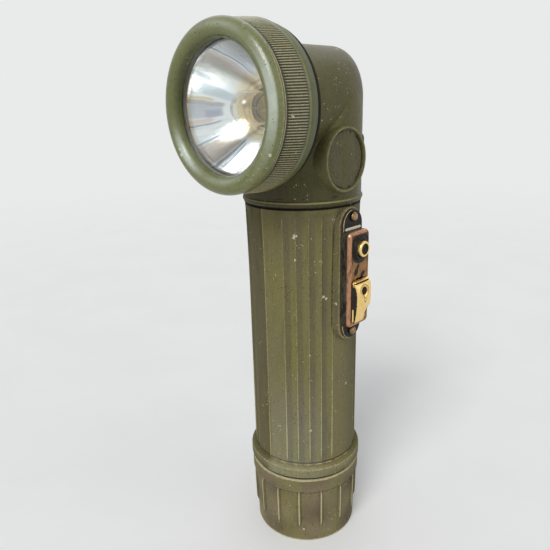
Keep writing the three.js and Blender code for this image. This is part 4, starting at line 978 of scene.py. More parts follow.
@dataclass(frozen=True)
class RubbedPaint:
    """Black paint over a copper-washed sheet, rubbed through where thumbs go."""

    name: str
    metal: str = "#a2794c"
    dull: str = "#5c3d2a"
    rim: str = "#bd8c6c"
    paint: str = "#100e0b"
    dust: str = "#6d6351"
    # Colour of rubbed spots and of the painted highlights.
    pale: str = "#eee6cf"
    flank: str = "#4b4334"

    def material(self) -> Material:
        """Builds the nodes.

        Returns:
            The material.
        """
        s = Shade(self.name)
        cloud = s.span(s.noise(1.2, 1, 4, 0.65, (1, 1, 0.6)), 0.4, 0.7)
        copper = s.blend(s.plus(s.mark("dull"), s.times(cloud, 0.7)), self.metal, self.dull)
        rim = s.span(s.noise(0.8, 8, 3, 0.6, (1, 1, 0.3)), 0.45, 0.75)
        copper = s.blend(s.mark("edge"), copper, s.blend(rim, self.rim, self.dull))
        copper = s.tint(copper, self.paint, s.specks(0.4, 4, 0.5), 0.6)
        film = s.ragged("paint", 0.78, s.noise(0.7, 2, 5, 0.74), 0.5, 0.58, 0.68)
        dust = s.span(s.noise(0.5, 7, 4, 0.7), 0.5, 0.7)
        coat = s.blend(film, copper, s.tint(self.paint, self.dust, dust, 0.28))
        streak = s.span(s.noise(1.2, 9, 4, 0.7, (1, 1, 0.3)), 0.35, 0.65)
        coat = s.blend(s.mark("flank"), coat, s.blend(streak, self.flank, self.paint))
        # Pale where the worn mark lies: rubbed spots, and painted highlights at the tab's foot and
        # the box's corner.
        rubbed = s.ragged("wear_and_highlight", 0.8, s.noise(0.5, 3, 4, 0.7), 0.4, 0.66, 0.82)
        coat = s.blend(rubbed, coat, self.pale)
        bare = s.calc(SUBTRACT, s.rest(film), s.mark("flank"))
        relief = s.bump(s.plus(s.times(film, 0.7), s.times(s.noise(0.5, 5, 3), 0.3)), 0.05)
        return s.finish(Base_Color=coat, Metallic=s.times(bare, 0.8), Normal=relief,
                        Roughness=s.level(s.noise(0.9, 6, 3), 0.3, 0.52),
                        Specular_IOR_Level=0.2)


@dataclass(frozen=True)
class MirrorCoat:
    """A bright vacuum-coated bowl whose colour carries painted reflections: tinted sectors, and
    golden swirls and rings near the bulb.

    Each painted reflection is a colour and its strength, then its middle and half width in degrees
    from the bowl's left, upwards, how far it leans towards the bulb, and its inner and outer reach.
    """

    mouth: float
    name: str = "mirror_coat"
    painted_reflections: tuple[tuple[str, float, float, float, float, float, float], ...] = (
        ("#e6ded2", 0.5, 53, 15, 8, 0.5, 1.2), ("#c6cfe6", 0.45, 72, 3.6, -22, 0.5, 1.2),
        ("#85868c", 0.7, 67, 0.6, -26, 0.55, 1.02), ("#c6cede", 0.5, 96, 2.5, -10, 0.6, 1.2),
        ("#bccdd4", 0.7, 24, 6, 14, 0.56, 0.92), ("#a3a8ac", 0.6, 36, 2.0, 20, 0.84, 1.02),
        ("#f3d79c", 0.85, 11.5, 1.2, 4, 0.78, 1.2), ("#b5ada0", 0.7, 7.5, 2.0, 6, 0.66, 1.2),
        ("#b4b6c4", 0.7, -1.5, 7.5, 0, 0.68, 1.0), ("#9094ad", 0.45, -5, 4.0, 0, 0.7, 0.86),
        ("#ecd2c2", 0.8, -12, 1.8, 0, 0.8, 1.2), ("#9598ab", 0.7, -16, 0.8, 0, 0.72, 1.04),
        ("#8fa0c4", 0.8, -35, 0.8, -8, 0.6, 1.0), ("#d0bcae", 0.9, -48.5, 11.5, -4, 0.62, 1.03),
        ("#7c88a6", 0.85, -64, 1.6, -6, 0.57, 1.0), ("#9aa6c4", 0.7, -72, 1.0, -12, 0.6, 0.96),
        ("#b9c0d0", 0.7, -95, 2.5, -8, 0.6, 1.2))

    def polar(self, s: Shade) -> tuple[Socket, Socket]:
        """Where a point lies in the bowl: its share of the mouth's radius, and its angle.

        Args:
            s: the material under way.

        Returns:
            Both as sockets.
        """
        spot = s.add("ShaderNodeSeparateXYZ", {0: s.place}).outputs
        left, up = s.plain(MULTIPLY, spot[0], -1.0), s.plain(SUBTRACT, spot[2], LENS_AXIS)
        square = s.plain(ADD, s.plain(MULTIPLY, left, left), s.plain(MULTIPLY, up, up))
        turn = s.plain("DEGREES", s.plain("ARCTAN2", up, left))
        return (s.plain("DIVIDE", s.plain("SQRT", square), self.mouth),
                s.plain(ADD, turn, s.level(s.noise(5.0, 21, 2), -2.2, 2.2)))

    def streaks(self, s: Shade, place: Socket, scale: float, detail: float = 2.0) -> Socket:
        """Plain noise on a place of its own."""
        return s.out("ShaderNodeTexNoise", {"Vector": place, "Scale": scale, "Detail": detail})

    def material(self) -> Material:
        """Builds the nodes.

        Returns:
            The material.
        """
        s = Shade(self.name)
        reach, turn = self.polar(s)
        short = s.plain(SUBTRACT, 1.0, reach)
        ray = s.vector(X=s.plain(MULTIPLY, turn, 0.05), Y=s.plain(MULTIPLY, reach, 0.5))
        streak, fine = self.streaks(s, ray, 1.0, 4.0), self.streaks(s, ray, 9.0)
        coat = s.tint("#ffffff", "#b9bcc4", s.span(streak, 0.52, 0.68), 0.16)
        # Lays each painted reflection into the colour.
        for colour, strength, middle, half, lean, low, high in self.painted_reflections:
            bent = s.plain(ADD, turn, s.plain(MULTIPLY, short, lean))
            off = s.plain("ABSOLUTE", s.plain(SUBTRACT, bent, middle))
            ring = s.times(s.span(reach, low - 0.03, low + 0.03),
                           s.span(reach, high + 0.03, high - 0.03))
            share = s.times(ring, s.span(off, half * 1.25 + 0.5, half * 0.75))
            coat = s.tint(coat, colour, share, s.level(streak, strength * 0.75, strength))
        coat = s.tint(coat, "#a39f98", s.span(fine, 0.55, 0.7), 0.14)
        # Painted reflection of the bulb's brass base: golden swirls and rings round the middle.
        reflection_swirl = s.noise(2.6, 17, 3)
        near = s.span(s.plain(ADD, reach, s.level(reflection_swirl, -0.1, 0.1)), 0.6, 0.48)
        coat = s.tint(coat, "#fae3b4", near, s.level(reflection_swirl, 0.6, 1.0))
        wavy = s.vector(X=s.plain(ADD, reach, s.level(reflection_swirl, 0.0, 0.05)))
        rings = s.times(s.span(self.streaks(s, wavy, 30.0), 0.48, 0.6),
                        s.span(reach, 0.58, 0.4))
        coat = s.tint(coat, "#d09c50", rings, 0.55)
        coat = s.tint(coat, "#8b7a60", s.specks(0.5, 2, 0.42), 0.4)
        relief = s.bump(s.noise(3.0, 4, 2), 0.05, s.bump(fine, 0.012))
        return s.finish(Base_Color=coat, Metallic=1.0, Normal=relief,
                        Roughness=s.level(streak, 0.12, 0.3))


@dataclass(frozen=True)
class ClearGlass:
    """Clear glass with a little dust."""

    name: str
    clear: str = "#f7fbfb"
    dust: str = "#8f8a78"

    def material(self) -> Material:
        """Builds the nodes.

        Returns:
            The material.
        """
        s = Shade(self.name)
        sheen = s.span(s.noise(3.0, 1, 4, 0.65), 0.45, 0.8)
        coat = s.tint(self.clear, self.dust, s.specks(0.5, 5, 0.4), 0.3)
        return s.finish(Base_Color=coat, Roughness=s.level(sheen, 0.0, 0.06), IOR=1.46,
                        Transmission_Weight=1.0, Normal=s.bump(s.noise(9, 2, 1), 0.01))


@dataclass(frozen=True)
class DullSolid:
    """A plain material for hidden pieces: rubber, fibre board, pale brass, a cell's jacket."""

    name: str
    base: str
    other: str
    rough: float = 0.7
    metal: float = 0.0
    size: float = 1.2
    stretch: Triple = (1, 1, 1)
    dust: str = "#9a917a"

    def material(self) -> Material:
        """Builds the nodes.

        Returns:
            The material.
        """
        s = Shade(self.name)
        cloud = s.noise(self.size, 1, 4, 0.65, self.stretch)
        coat = s.blend(s.span(cloud, 0.35, 0.7), self.base, self.other)
        coat = s.tint(coat, self.dust, s.specks(0.5, 2, 0.45), 0.5)
        return s.finish(Base_Color=coat, Metallic=self.metal,
                        Roughness=s.level(cloud, self.rough - 0.1, self.rough + 0.12),
                        Normal=s.bump(s.noise(self.size / 3, 3, 3), 0.04))


def dress(piece: Piece, body: str, finish: Material, stands_for: Sequence[str],
          marks: Marker | None = None, crease: float = 32.0) -> Piece:
    """Gives a finished piece its place, finish, marks and duties.

    Args:
        piece: the object.
        body: the frame's body that it rides on.
        finish: its material.
        stands_for: the frame's nodes that it replaces.
        marks: gives the numbers kept on its points, from their x, y and z in millimetres.
        crease: edges sharper than this angle stay sharp.

    Returns:
        The piece.
    """
    data = piece.data
    spots = np.empty(len(data.vertices) * 3)
    data.vertices.foreach_get("co", spots)
    spots = spots.reshape(-1, 3) / MM
    for label, values in (marks(*spots.T) if marks else {}).items():
        kept = data.attributes.new(label, "FLOAT", "POINT")
        kept.data.foreach_set("value", np.clip(values, -1, 2).astype(np.float32))
    data.materials.clear()
    data.materials.append(finish)
    data.polygons.foreach_set("use_smooth", np.ones(len(data.polygons), dtype=bool))
    data.polygons.foreach_set("material_index", np.zeros(len(data.polygons), dtype=np.int32))
    data.set_sharp_from_angle(angle=math.radians(crease))
    data.update()
    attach(piece, body)
    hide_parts(*stands_for)
    log.info("%s: %d points, %d faces, on %s", piece.name, len(data.vertices),
             len(data.polygons), body)
    return piece


class Kit:
    """Every finish and every Geometry Nodes tree of the flashlight, built once."""

    def __init__(self) -> None:
        """Builds the trees and the materials."""
        self.ribs, self.coil, self.row = rib_ring(), winding(), row_of()
        self.head = OliveDrab("head_olive", "#4f4e24", "#4b4531", "#8f885c", gloss=0.4,
                              mottle=0.9, drag=(1, 1, 0.5), nicks=(
                                  (19.6, -12.81, 163.2, 0.4), (19.6, -8.36, 163.4, 0.4),
                                  (8.25, 9.19, 185.4, 0.6))).material()
        self.tube = OliveDrab("tube_olive", "#6e6934", "#675f4a", "#b2aa82", gloss=0.42,
                              mottle=0.5, drag=(1, 1, 0.08), shine=0.14, nicks=(
                                  (11.1, -17.2, 125.6, 1.0), (17.9, -8.5, 102.7, 0.6),
                                  (17.5, -9.5, 103.8, 0.75), (20.6, -6.3, 100.9, 0.7),
                                  (-1.4, -20.5, 120.3, 0.35), (11.2, -17.0, 117.6, 0.5),
                                  (14.8, -13.8, 82.1, 0.5), (20.3, 0.5, 67.1, 0.6),
                                  (14.8, -13.6, 50.8, 0.5), (17.5, 9.3, 47.2, 0.6))).material()
        self.cap = OliveDrab("cap_olive", "#7b7544", "#71644c", "#c0b58c", gloss=0.46,
                             mottle=1.0, drag=(1, 1, 0.4), grain=0.08,
                             nicks=((12.7, -15.7, 5.8, 0.5),)).material()
        self.bezel = OliveDrab("bezel_olive", "#5f6a2e", "#66603f", "#b3a981", gloss=0.2,
                               mottle=0.5, drag=(1, 1, 1), shine=0.55, nicks=(
                                   (25.5, -32.9, 165.2, 0.7), (22.0, -38.7, 154.9, 0.6),
                                   (-17.2, -39.6, 153.2, 0.9), (-18.2, -39.5, 155.1, 0.7),
                                   (19.8, -38.2, 151.1, 0.5))).material()
        self.black = OliveDrab("black_steel", "#161618", "#1f1d1b", "#5a564e", "#0b0b0b",
                               "#7a6a58", gloss=0.4, mottle=0.5).material()
        self.brass = BareMetal("brass", "#fbd98f", "#c99c4e", "#1c1408", 0.28, 0.3).material()
        self.contact = BareMetal("contact_brass", "#e6c583", "#a07c42", "#2c2113",
                                 spread=0.6).material()
        self.bronze = BareMetal("rivet_bronze", "#b0906a", "#5f4a33", "#1a120a", 0.36,
                                0.8).material()
        self.spring = BareMetal("spring_steel", "#c4c4c0", "#8a8984", "#2a2826").material()
        self.plate = RubbedPaint("rubbed_plate").material()
        self.mirror = MirrorCoat(Optics.mouth).material()
        self.lens = ClearGlass("lens_glass").material()
        self.bulb = ClearGlass("bulb_glass", "#fdfaf2").material()
        self.lamp = DullSolid("lamp_brass", "#fdeac0", "#f0cb88", 0.4).material()
        self.rubber = DullSolid("rubber", "#1b1a1a", "#2b2827", 0.8).material()
        # Near-white gasket: painted light, standing for the bright rim seen through the lens in
        # place of its shade.
        self.seal = DullSolid("gasket_painted_lit", "#f1ede8", "#dfd8d1", 0.6).material()
        self.fibre = DullSolid("fibre_board", "#6b4a2c", "#4e3520", 0.8,
                               stretch=(1, 1, 3)).material()
        self.cell = DullSolid("cell_jacket", "#30343c", "#3b4048", 0.4, 0.3, 6.0,
                              (1, 1, 0.2)).material()


@dataclass
class Assembly:
    kit: Kit

    def build(self) -> None:
        """Makes the pieces and dresses them."""
        raise NotImplementedError


@dataclass
class TailCap(Assembly):
    """The ribbed screw cap that the flashlight stands on, with its spring."""

    foot_radius: float = 20.05
    panel_radius: float = 20.6
    band_radius: float = 21.7
    band_foot: float = 24.2
    height: float = 29.9
    floor: float = 3.0
    step: float = 9.0
    chamber: float = 16.4
    socket: float = 19.3
    ribs: int = 15
    rib_foot: float = 6.3
    rib_width: float = 1.5
    rib_proud: float = 0.85
    first_rib: float = -56.0
    spring_wire: float = 1.2
    spring_radii: tuple[float, float] = (13.0, 7.0)
    spring_top: float = 10.7

    def wall(self, share: float | np.ndarray) -> float | np.ndarray:
        """The panel's radius at a share of the way up to the band."""
        return self.foot_radius + (self.panel_radius - self.foot_radius) * share

    def outline(self) -> Outline:
        """The cup's section, from the middle of its underside round to its floor.

        Returns:
            The points, as (radius, height).
        """
        top, band, foot = self.height, self.band_radius, self.foot_radius
        return [
            (0, 0.5), (foot - 2.4, 0.5), (foot - 2.0, 0.0), *arc((foot - 0.8, 0.8), 0.8, -90, 0, 6),
            *[(self.wall(t), t * self.band_foot) for t in np.linspace(0.1, 0.94, 20)],
            *arc((self.panel_radius + 0.7, self.band_foot - 0.9), 0.72, 180, 125, 4),
            *arc((band - 0.9, self.band_foot + 0.75), 0.9, -52, 0, 5),
            *[(band, h) for h in np.linspace(self.band_foot + 1.2, top - 1.2, 6)],
            *arc((band - 0.8, top - 0.8), 0.8, 0, 90, 6),
            (self.socket + 0.3, top), (self.socket, top - 0.3), (self.socket, self.step),
            (self.chamber, self.step), (self.chamber, self.floor), (0, self.floor)]

    def build(self) -> None:
        """Makes the cap with its ribs, and the tail spring."""
        kit = self.kit
        cap = combined("tail_cap_dressed", lathe(self.outline(), 180))
        rib_top = self.band_foot + 0.4
        middle = (self.rib_foot + rib_top) / 2
        kit.ribs.grow(cap, kit.cap, Count=self.ribs, First_Angle=math.radians(self.first_rib),
                      Ring_Radius=self.wall(middle / self.band_foot) - 0.1, Height=middle,
                      Rib_Length=rib_top - self.rib_foot, Rib_Width=self.rib_width,
                      Rib_Depth=self.rib_proud + 0.1,
                      Lean=math.atan((self.panel_radius - self.foot_radius) / self.band_foot))
        dress(cap, "tail", kit.cap, ["tail_cap"], self.marks)
        spring, seat = blank("tail_spring_dressed"), self.floor + 1.0
        kit.coil.grow(spring, kit.spring, Foot_Radius=self.spring_radii[0],
                      Top_Radius=self.spring_radii[1], Foot=seat + self.spring_wire / 2,
                      Rise=self.spring_top - seat - self.spring_wire, Turns=3.5,
                      Wire=self.spring_wire)
        dress(spring, "tail", kit.spring, ["tail_spring"])

    def marks(self, x: np.ndarray, y: np.ndarray, z: np.ndarray) -> Marks:
        """Worn ribs and edges; painted shadow beside the ribs, painted shade under the band and
        inside, and towards two sides, with patches of tone.

        Args:
            x, y, z: the points' places, in millimetres.

        Returns:
            The numbers kept on the points.
        """
        reach, side, foot = np.hypot(x, y), np.arctan2(y, x), self.band_foot
        proud = reach - self.wall(np.clip(z / foot, 0, 1))
        pitch = 2 * math.pi / self.ribs
        angle = side - math.radians(self.first_rib)
        from_rib = np.abs((angle + pitch / 2) % pitch - pitch / 2) * self.panel_radius
        return {
            "wear_and_highlight": most(ramp(proud, 0.55, 0.8) * (z < foot),
                         0.75 * bell(z, self.height - 0.2, 0.7), 0.7 * bell(z, 0.5, 0.55),
                         0.5 * bell(z, foot + 0.3, 0.6)),
            # Painted shadow beside each rib, painted shade under the band, and dark inside the
            # socket.
            "grime_and_shade": most(0.6 * bell(from_rib, self.rib_width / 2 + 0.15, 0.35) * (proud < 0.25)
                          * (z > self.rib_foot) * (z < foot),
                          0.5 * bell(z, foot - 0.9, 0.4), 1.0 * (reach < self.socket + 0.2)),
            # Painted shade, darker towards two sides, with wavy patches of tone.
            "shade_and_mottle": 0.28 + 0.3 * np.sin(side * 4 + 1) * np.sin(z * 0.35)
            + 0.4 * ramp(side, -0.35, 0.5) + 0.2 * ramp(side, -1.5, -2.4),
            "panel": 0.45 + 0.55 * np.sin(side * 7.5 + 0.8),
            "chips": 0.72 * bell(z, 2.6, 2.2) * bell(side, -0.75, 0.35)}


@dataclass
class BatteryTube(Assembly):
    """The fluted tube with its bead, its spigots and the raised pad for the switch."""

    radius: float = 20.35
    flare: float = 0.55
    flare_foot: float = 100.8
    foot: float = 10.7
    bead_foot: float = 31.0
    bead_top: float = 36.0
    bead_radius: float = 22.06
    top: float = 134.8
    spigot: float = 19.0
    spigot_top: float = 141.3
    bore: float = 17.6
    ledge: float = 14.8
    ledge_foot: float = 132.7
    flute_depth: float = 0.55
    flute_pitch: float = 12.5
    first_flute: float = 18.5
    flutes: int = 4
    flute_foot: float = 36.4
    flute_top: float = 133.2
    runout: float = 1.6
    boss: Triple = (6.3, 86.0, 134.5)
    boss_face: float = 21.8
    window: tuple[float, float] = (97.2, 116.4)
    channel_half: float = 3.2
    channel_floor: float = 18.3
    seam: float = 0.16

    def around(self) -> tuple[np.ndarray, np.ndarray]:
        """The angles of a ring's points, and how deep the flute is at each, from 0 to 1.

        Returns:
            The angles in radians, and the depths.
        """
        angles, depths = [], []
        span = self.flutes * self.flute_pitch
        for quarter in range(4):
            first = 90 - self.first_flute - span if quarter % 2 else self.first_flute
            parts = [(0.0, first, 22, False)]
            parts += [(first + k * self.flute_pitch, first + (k + 1) * self.flute_pitch, 18, True)
                      for k in range(self.flutes)]
            parts += [(first + span, 90.0, 22, False)]
            for low, high, steps, fluted in parts:
                for t in np.arange(steps) / steps:
                    angles.append(math.radians(quarter * 90 + low + (high - low) * t))
                    depths.append((1 - abs(2 * t - 1) ** 3.2) if fluted else 0.0)
        return np.array(angles), np.array(depths)

    def skin(self, height: float) -> float:
        """The tube's radius over its ridges at a height."""
        share = min(1.0, max(0.0, (height - self.flare_foot) / (self.top - self.flare_foot)))
        return self.radius + self.flare * share ** 1.5

    def shell(self) -> Shell:
        """The tube as one closed wall, from its lower spigot up, over and down its bore.

        Returns:
            The closed shell.
        """
        angles, depths = self.around()
        circle = np.stack([np.cos(angles), np.sin(angles)], 1)
        parting = self.seam * (np.abs(np.sin(angles)) > 1 - 1e-9)
        foot, bead = self.bead_foot, self.bead_radius
        profile = [
            (self.bore, self.foot), (self.spigot - 0.4, self.foot),
            (self.spigot, self.foot + 0.4), (self.spigot, foot), (bead - 0.7, foot),
            *arc((bead - 0.6, foot + 0.6), 0.6, -90, 0, 5), (bead, foot + 1.5),
            (bead, foot + 2.4), *arc((bead - 1.75, self.bead_top - 1.85), 1.75, 8, 84, 11),
            (self.radius + 0.1, self.bead_top - 0.12), (self.radius, self.bead_top + 0.1)]
        for h in [*np.linspace(self.flute_foot, self.flute_foot + self.runout, 7),
                  *np.linspace(self.flute_foot + 3, self.flute_top - 4, 40),
                  *np.linspace(self.flute_top - self.runout, self.flute_top, 7),
                  *np.linspace(self.flute_top + 0.4, self.top - 0.3, 3)]:
            deep = min(1.0, max(0.0, (h - self.flute_foot) / self.runout),
                       max(0.0, (self.flute_top - h) / self.runout))
            depth = self.flute_depth * math.sin(deep * math.pi / 2)
            profile.append((self.skin(h) + parting - depth * depths, h))
        profile += [(self.radius + self.flare - 0.3, self.top), (self.spigot, self.top),
                    (self.spigot, self.spigot_top - 0.4), (self.spigot - 0.4, self.spigot_top),
                    (self.bore, self.spigot_top), (self.bore, self.top), (self.ledge, self.top),
                    (self.ledge, self.ledge_foot), (self.bore, self.ledge_foot)]
        return loft([np.column_stack([circle * np.reshape(r, (-1, 1)), np.full(len(angles), h)])
                     for r, h in profile], closed=True)

    def build(self) -> None:
        """Makes the tube with its pad, its hollows and the thread on its lower spigot."""
        kit = self.kit
        half, low, high = self.boss
        pad = pillow((-half, low, half, high), half - 0.1, self.spigot, self.boss_face, 0.5)
        past, wide = self.boss_face + 1, self.channel_half
        cuts = [block(wide, self.foot - 1, self.spigot_top + 1, self.ledge, self.channel_floor),
                block(wide, *self.window, self.ledge, past)]
        cuts += [bar(radius, floor, top).placed(shift=(0, height, 0))
                 for radius, floor, top, height in (
                     (3.4, 20.1, past, BUTTON_HEIGHT),
                     (1.3, self.ledge, self.boss_face, BUTTON_HEIGHT),
                     (RIVET_HOLE, 17.0, past, COVER_RIVETS[0]),
                     (RIVET_HOLE, 18.7, past, COVER_RIVETS[1]))]
        tube = combined("battery_tube_dressed", self.shell(), [pad.placed(Axis.SWITCH)],
                        [cut.placed(Axis.SWITCH) for cut in cuts])
        ridge = self.spigot - 0.08
        kit.coil.grow(tube, kit.tube, Foot_Radius=ridge, Top_Radius=ridge, Foot=13.5, Rise=15.0,
                      Turns=5.0, Wire=THREAD_WIRE)
        dress(tube, "housing", kit.tube, ["battery_tube"], self.marks)

    def from_ridge(self, side: np.ndarray) -> np.ndarray:
        """How far each angle is from the nearest ridge between flutes, in millimetres.

        Args:
            side: angles round the tube, in degrees.

        Returns:
            The distances.
        """
        angle = side % 180
        place = (np.minimum(angle, 180 - angle) - self.first_flute) / self.flute_pitch
        nearest = np.clip(np.round(place), 0, self.flutes)
        return np.abs(place - nearest) * math.radians(self.flute_pitch) * self.radius

    def marks(self, x: np.ndarray, y: np.ndarray, z: np.ndarray) -> Marks:
        """Pale ridges and bead, partly worn, partly painted highlight; painted shade in creases, on
        the sides and as the flutes' two tones; painted sheen.

        Args:
            x, y, z: the points' places, in millimetres.

        Returns:
            The numbers kept on the points.
        """
        half, low, high = self.boss
        boss = np.hypot(y, z - np.clip(z, low + half, high - half)) - half
        boss = np.where(x > 15, boss, 9.0)
        reach, side = np.hypot(x, y), np.degrees(np.arctan2(y, x))
        first = 90 - self.first_flute - self.flutes * self.flute_pitch
        place = (np.mod(side + 90, 180) - first) / self.flute_pitch
        share, fluted = place - np.floor(place), (place > 0) & (place < self.flutes)
        # Painted shade: browner on each flute's left part, more so lower down; the flat panels are
        # browner lower down.
        shaded = ramp(share, 0.02, 0.1) * ramp(share, 0.62, 0.4) * fluted * (z > self.bead_top)
        lower = ramp(z, 110, 60)
        tone = np.where(fluted, 0.22 + (0.4 + 0.35 * lower) * shaded,
                        np.where(place < 0, 0.2 + 0.35 * lower, 0.55))
        ridged = ramp(z, 37, 38.5) * ramp(z, self.flute_top, self.flute_top - 1.5)
        front = np.abs(np.mod(side + 90 + 180, 360) - 180) * math.radians(self.radius)
        return {
            # The band on the bead's top is a painted highlight; the ridge lines are partly worn
            # edge and partly painted highlight.
            "wear_and_highlight": most(
                (0.56 + 0.3 * ramp(z, 90, 45)) * bell(self.from_ridge(side), 0, 0.27) * ridged,
                0.72 * bell(front, 0, 0.26) * (z > self.bead_top + 0.6),
                0.55 * bell(z, self.bead_top - 1.3, 0.8) * (reach > 20.9),
                0.45 * bell(z, self.bead_foot + 0.3, 0.4), 0.6 * bell(boss, -0.3, 0.3),
                0.42 * ramp(z, 66, 38) * (1 - shaded) * ramp(side, -90.5, -89.5)
                * ramp(side, -20, -60)),
            # Painted shade in creases: above the bead, under the head, round the pad's foot and at
            # each flute's left edge; dark on the spigot.
            "grime_and_shade": most(
                0.75 * bell(z, self.bead_top + 0.75, 0.3), 0.8 * bell(z, self.top, 0.5),
                0.8 * (reach < self.spigot + 0.05), 0.6 * bell(boss, 0.35, 0.3) * (reach < 21.0),
                0.4 * bell(share, 0.07, 0.05) * ridged * (place > 0) * (place < self.flutes + 0.2)),
            # Painted shade: each flute's left half, the far left and right sides, the pad's foot;
            # darker near the top at the front and upwards.
            "shade_and_mottle": most(
                0.5 * ramp(z, 122, 134) * ramp(np.abs(side + 40), 62, 20)
                * (0.75 + 0.25 * np.sin(side * 0.33)),
                0.34 * shaded, 0.65 * ramp(side, -89, -92), 0.65 * ramp(side, -14, 24),
                0.4 * bell(boss, 0.25, 0.3)) + 0.1 * ramp(z, 70, 120),
            "panel": np.where(z > self.bead_top, tone, 0.2),
            # Painted sheen: a pale reflection on the bead's face and low on the front.
            "sheen": most(
                0.16 * bell(z, 33.9, 0.9) * (reach > 20.9),
                0.14 * ramp(z, 80, 42) * ramp(side, -89, -86) * ramp(side, -16, -40)),
            "chips": most(
                bell(z, self.bead_top + 0.15, 0.6) * np.clip(
                    ramp(side, -98, -82) * ramp(side, 34, 0) + 0.1 * np.sin(side * 0.5), 0, 1),
                0.6 * bell(boss, -0.25, 0.35) * (y < 0))}


@dataclass
class Head(Assembly):
    """The elbow head with its collar bead, flange, bare badge and clip pad."""

    radius: float = 21.1
    neck: float = 20.0
    wall: float = 2.2
    corner: float = 8.5
    crease: float = 0.8
    foot: float = 135.1
    collar_radius: float = 21.6
    collar_height: float = 2.9
    flange_radius: float = 25.3
    flange_front: float = 21.1
    flange: float = 1.1
    fillet: float = 2.5
    spigot: float = 22.2
    spigot_wall: float = 1.2
    spigot_front: float = 31.1
    socket: float = 19.3
    socket_top: float = 141.6
    badge_height: float = 150.3
    badge_setback: float = 2.2
    badge_radius: float = 10.9
    badge_face: float = 20.75
    badge_rim: float = 1.3
    badge_proud: float = 0.8
    clip_pad: tuple[float, float, float, float] = (-7.35, 157.5, 7.35, 170.0)
    clip_face: float = 21.5

    def elbow(self, radius: float, neck: float, corner: float, foot: float, reach: float,
              facets: int) -> Shell:
        """An elbow of two round tubes with a rounded rear corner and a creased front one.

        Args:
            radius: radius of the upright tube.
            neck: radius of the tube along the lens axis.
            corner: radius of the rear corner.
            foot: height of the upright tube's end.
            reach: how far in front of the tube's axis the neck ends.
            facets: steps round the corner.

        Returns:
            The closed elbow.
        """
        angles = -np.arange(144) / 144 * 2 * math.pi
        back, top = radius * np.cos(angles), LENS_AXIS + neck * np.cos(angles)
        bend = np.clip(back, min(self.crease, corner), corner)
        inner, lower = back - bend, top - bend
        steps = [(0, back, foot + (lower - foot) * t) for t in np.linspace(0, 0.96, 16)]
        for share in np.arange(facets + 1) / facets:
            turn = share * math.pi / 2
            steps.append((share, inner + bend * math.cos(turn), lower + bend * math.sin(turn)))
        steps += [(1, inner + (-reach - inner) * t, top) for t in np.linspace(0.04, 1, 14)]
        return loft([np.column_stack([(radius + (neck - radius) * share) * np.sin(angles), y, z])
                     for share, y, z in steps])

    def build(self) -> None:
        """Makes the head in one piece."""
        kit = self.kit
        rear, inset = self.flange_front - self.flange, self.wall
        collar_top = self.foot + self.collar_height + 0.15
        outer = self.elbow(self.radius, self.neck, self.corner, self.foot, rear, 14)
        inner = self.elbow(self.radius - inset, self.neck - inset, self.corner - inset,
                           self.foot - 1, self.flange_front + 1, 10)
        collar = lathe([
            (0, self.foot), (self.radius - 0.7, self.foot),
            *arc((self.collar_radius - 1.2, self.foot + self.collar_height / 2), 1.2, -66, 66, 12),
            (self.radius - 0.25, collar_top), (0, collar_top)], 160)
        back = rear - self.fillet
        flange = lathe([
            (0, back), (self.neck - 0.3, back),
            *arc((self.neck + self.fillet, back), self.fillet, 180, 90, 8),
            (self.flange_radius - 0.25, rear), (self.flange_radius, rear + 0.25),
            (self.flange_radius, self.flange_front - 0.2),
            (self.flange_radius - 0.2, self.flange_front), (self.spigot, self.flange_front),
            (self.spigot, self.spigot_front), (0, self.spigot_front)], 160).on_lens_axis()
        throat = bar(self.spigot - self.spigot_wall, self.flange_front, self.spigot_front + 1,
                     160).on_lens_axis()
        holes = [bar(RIVET_HOLE, self.radius - inset - 1, 23, 24).placed(Axis.BACK, (0, h, 0))
                 for h in CLIP_RIVETS]
        clip_pad = pillow(self.clip_pad, 2.0, self.radius - inset, self.clip_face, 0.4)
        head = combined("head_housing_dressed", outer,
                        [collar, flange, self.badge(), clip_pad.placed(Axis.BACK)],
                        [inner, throat, bar(self.socket, self.foot - 1, self.socket_top, 160),
                         *holes])
        ridge = self.spigot - 0.08
        absorb(head, wound("bezel_thread", kit.coil, Axis.LENS, LENS_AXIS, kit.head,
                           Foot_Radius=ridge, Top_Radius=ridge, Foot=23.2, Rise=6.0, Turns=3.0,
                           Wire=THREAD_WIRE))
        dress(head, "housing", kit.head, ["head_housing"], self.marks, 28)

    def badge(self) -> Shell:
        """The round badge: a rounded rim round a bare, slightly dished face.

        Returns:
            The closed shell, turned to its place.
        """
        radius, face = self.badge_radius, self.badge_face
        inner, crown = radius - self.badge_rim, face + self.badge_proud
        outline = [
            (0, 14.0), (radius + 0.35, 14.0), (radius + 0.3, crown - 1.3),
            *arc((radius - 0.55, crown - 0.55), 0.55, 0, 90, 5),
            *arc((inner + 0.45, crown - 0.45), 0.45, 90, 180, 5),
            *arc((inner - 0.35, face + 0.3), 0.35, 0, -90, 4),
            *[(inner - inset, face - 0.02) for inset in (0.8, 1.4, 2.2, 2.4)],
            (inner - 2.6, face + 0.1), (inner - 2.8, face - 0.02),
            *[(r, face) for r in (6.0, 5.0, 4.0, 3.0, 2.0, 1.0, 0)]]
        return lathe(outline, 96).placed(
            Axis.SWITCH, (-self.badge_setback, self.badge_height, 0))

